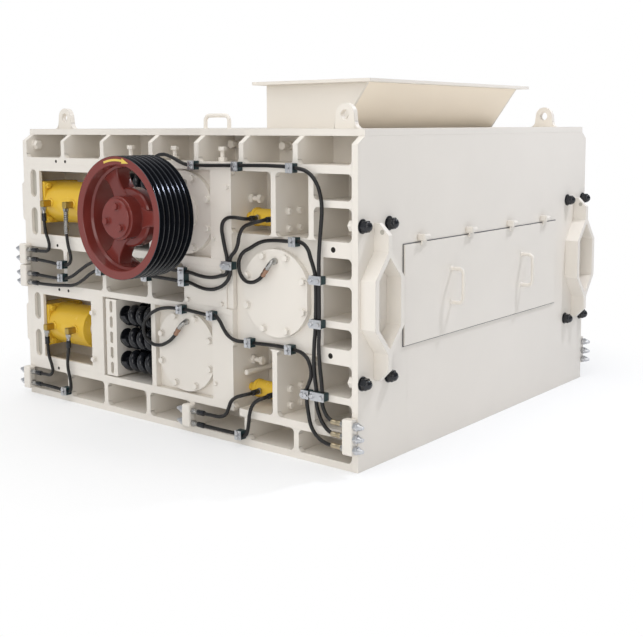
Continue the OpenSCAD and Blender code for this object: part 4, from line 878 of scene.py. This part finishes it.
for end, side in (("front", -1), ("rear", 1)):
    for name, route in zip(hose_names, hose_routes):
        hose = tube("hose", at_end(route, side), hose_r)
        fit([hose], f"{end}_hose_{name}", rubber)
        if name == hose_names[0]:
            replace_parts(hose, end + "_hoses")
    for name, route, held, start, finish in (
            ("upper", upper_grease_hose, 13, (0.140, 1.023, 1.186), (0.0935, 1.023, 1.105)),
            ("lower", lower_grease_hose, 13, (0.045, 1.023, 0.553), (0.045, 1.023, 0.494))):
        points = at_end(route, side)
        grip = points[held] + (points[held + 1] - points[held]).normalized() * 0.025
        fixed = [grip] + points[held + 1:]
        fit([tube("hose", fixed, hose_r)], f"{end}_hose_{name}_grease", rubber)
        loose = tube("hose", points[:held + 1] + [grip], hose_r)
        loose.name = f"{end}_hose_{name}_grease_loop"
        loose.data.materials.append(rubber)
        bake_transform(loose)

# Hose fittings: plated nuts and black crimped sleeves at the blocks and cylinders, brass elbow blocks
# on the ports, a ribbed guard on one hose, and brass or copper ferrules on the grease lines.
plated = metal("plated_steel", (0.50, 0.49, 0.47), 0.28)
brass = metal("pale_brass", (0.58, 0.49, 0.34), 0.34)
gilt = metal("gilt_steel", (0.56, 0.40, 0.12), 0.34)
copper = metal("copper_ferrule", (0.44, 0.27, 0.19), 0.36)
nut = hexagon(0.025, 0, 0.013)
crimp = turned([(0.0078, 0), (0.0110, 0.0005), (0.0120, 0.003), (0.0120, 0.036), (0.0110, 0.0385),
                (0.0078, 0.040)], 20)
collar = turned([(0.0078, 0), (0.0112, 0.001), (0.0112, 0.008), (0.0096, 0.010), (0.0096, 0.016),
                 (0.0106, 0.018), (0.0106, 0.022), (0.0078, 0.024)], 20)
stud = joined([hexagon(0.031, 0, 0.016),
               turned([(0, 0.015), (0.0135, 0.015), (0.0130, 0.026), (0.0090, 0.034), (0.0070, 0.042),
                       (0, 0.042)], 20)])
ribs = [(0.0078, 0)]
for k in range(11):
    ribs += [(0.0100, k * 0.010 + 0.001), (0.0122, k * 0.010 + 0.003), (0.0122, k * 0.010 + 0.007),
             (0.0100, k * 0.010 + 0.009)]
guard = turned(ribs + [(0.0078, 0.110)], 20)


def ferrule(length):
    return turned([(0.0078, 0), (0.0105, 0.0005), (0.0112, 0.003), (0.0112, 0.4 * length),
                   (0.0097, 0.4 * length + 0.002), (0.0097, 0.65 * length), (0.0108, 0.65 * length + 0.002),
                   (0.0108, length - 0.003), (0.0078, length)], 20)


nut_spots, collar_spots, crimp_spots, brass_spots, stud_spots = [], [], [], [], []
for route in [upper_grease_hose, lower_grease_hose] + hose_routes:
    last = Vector(route[-1])
    back = (Vector(route[-2]) - last).normalized()
    onward = Vector((-math.copysign(1, back.x), 0, 0))
    nut_spots.append((last, back))
    if last.x > 0.9:
        brass_spots.append((last + back * 0.012, back))
    else:
        collar_spots.append((last + back * 0.012, back))
        crimp_spots.append((last + back * 0.034, back))
    stud_spots.append((last + onward * bulkhead_l, onward))

elbow_r, block_half, block_low, block_high = 0.0098, 0.014, 0.018, 0.014
block_out, block_in = 1.037, 0.978
down = Vector((0, 0, -1))
port_blocks = []
for route in port_routes:
    port, turn = Vector(route[0]), Vector(route[3])
    port_blocks.append(rounded_block((port.x - block_half, -block_out, port.z - block_low),
                                     (port.x + block_half, -block_in, port.z + block_high), 0.005, 3))
    nut_spots.append((Vector((port.x, turn.y, port.z - block_low)), down))
    if route is not upper_port_hoses[1]:
        away = (Vector(route[4]) - turn).normalized()
        collar_spots.append((turn, away))
        crimp_spots.append((turn + away * 0.020, away))
for route in return_routes:
    nut_spots.append((Vector(route[0]), facing))
    crimp_spots.append((Vector(route[0]) + facing * 0.012, facing))
fit(mirrored(port_blocks), "port_blocks", gilt)
set_out(nut, "hose_nuts", nut_spots, plated, keep=True)
set_out(collar, "hose_collars", collar_spots, plated)
set_out(crimp, "hose_crimps", crimp_spots, black)
set_out(stud, "bulkhead_studs", stud_spots, zinc)
guard_start, guard_next = (Vector(p) for p in upper_port_hoses[1][3:5])
set_out(guard, "hose_guards", [(guard_start + down * 0.004, (guard_next - guard_start).normalized())], plated)
long_ferrule, short_ferrule = ferrule(0.052), ferrule(0.040)
set_out(long_ferrule, "brass_ferrules", brass_spots, brass)
for name, route, body in (("upper", upper_grease_hose, "upper_carriage"),
                          ("middle", middle_grease_hose, "root"),
                          ("lower", lower_grease_hose, "lower_carriage")):
    start, away = Vector(route[3]), (Vector(route[4]) - Vector(route[3])).normalized()
    elbows = [tube("elbow", at_end(route[:4], side), elbow_r) for side in (-1, 1)]
    fit(elbows, name + "_grease_elbows", plated, body)
    seat = (route[0][0], cover_y, route[0][2])
    set_out(nut, name + "_grease_nuts", [(seat, facing)], plated, body, keep=True)
    set_out(short_ferrule, name + "_grease_ferrules", [(start, away)], copper, body, keep=True)
for pattern in (nut, short_ferrule, large_bolt, small_bolt):
    bpy.data.objects.remove(pattern)

# Sizes of the finished machine.
low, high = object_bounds()
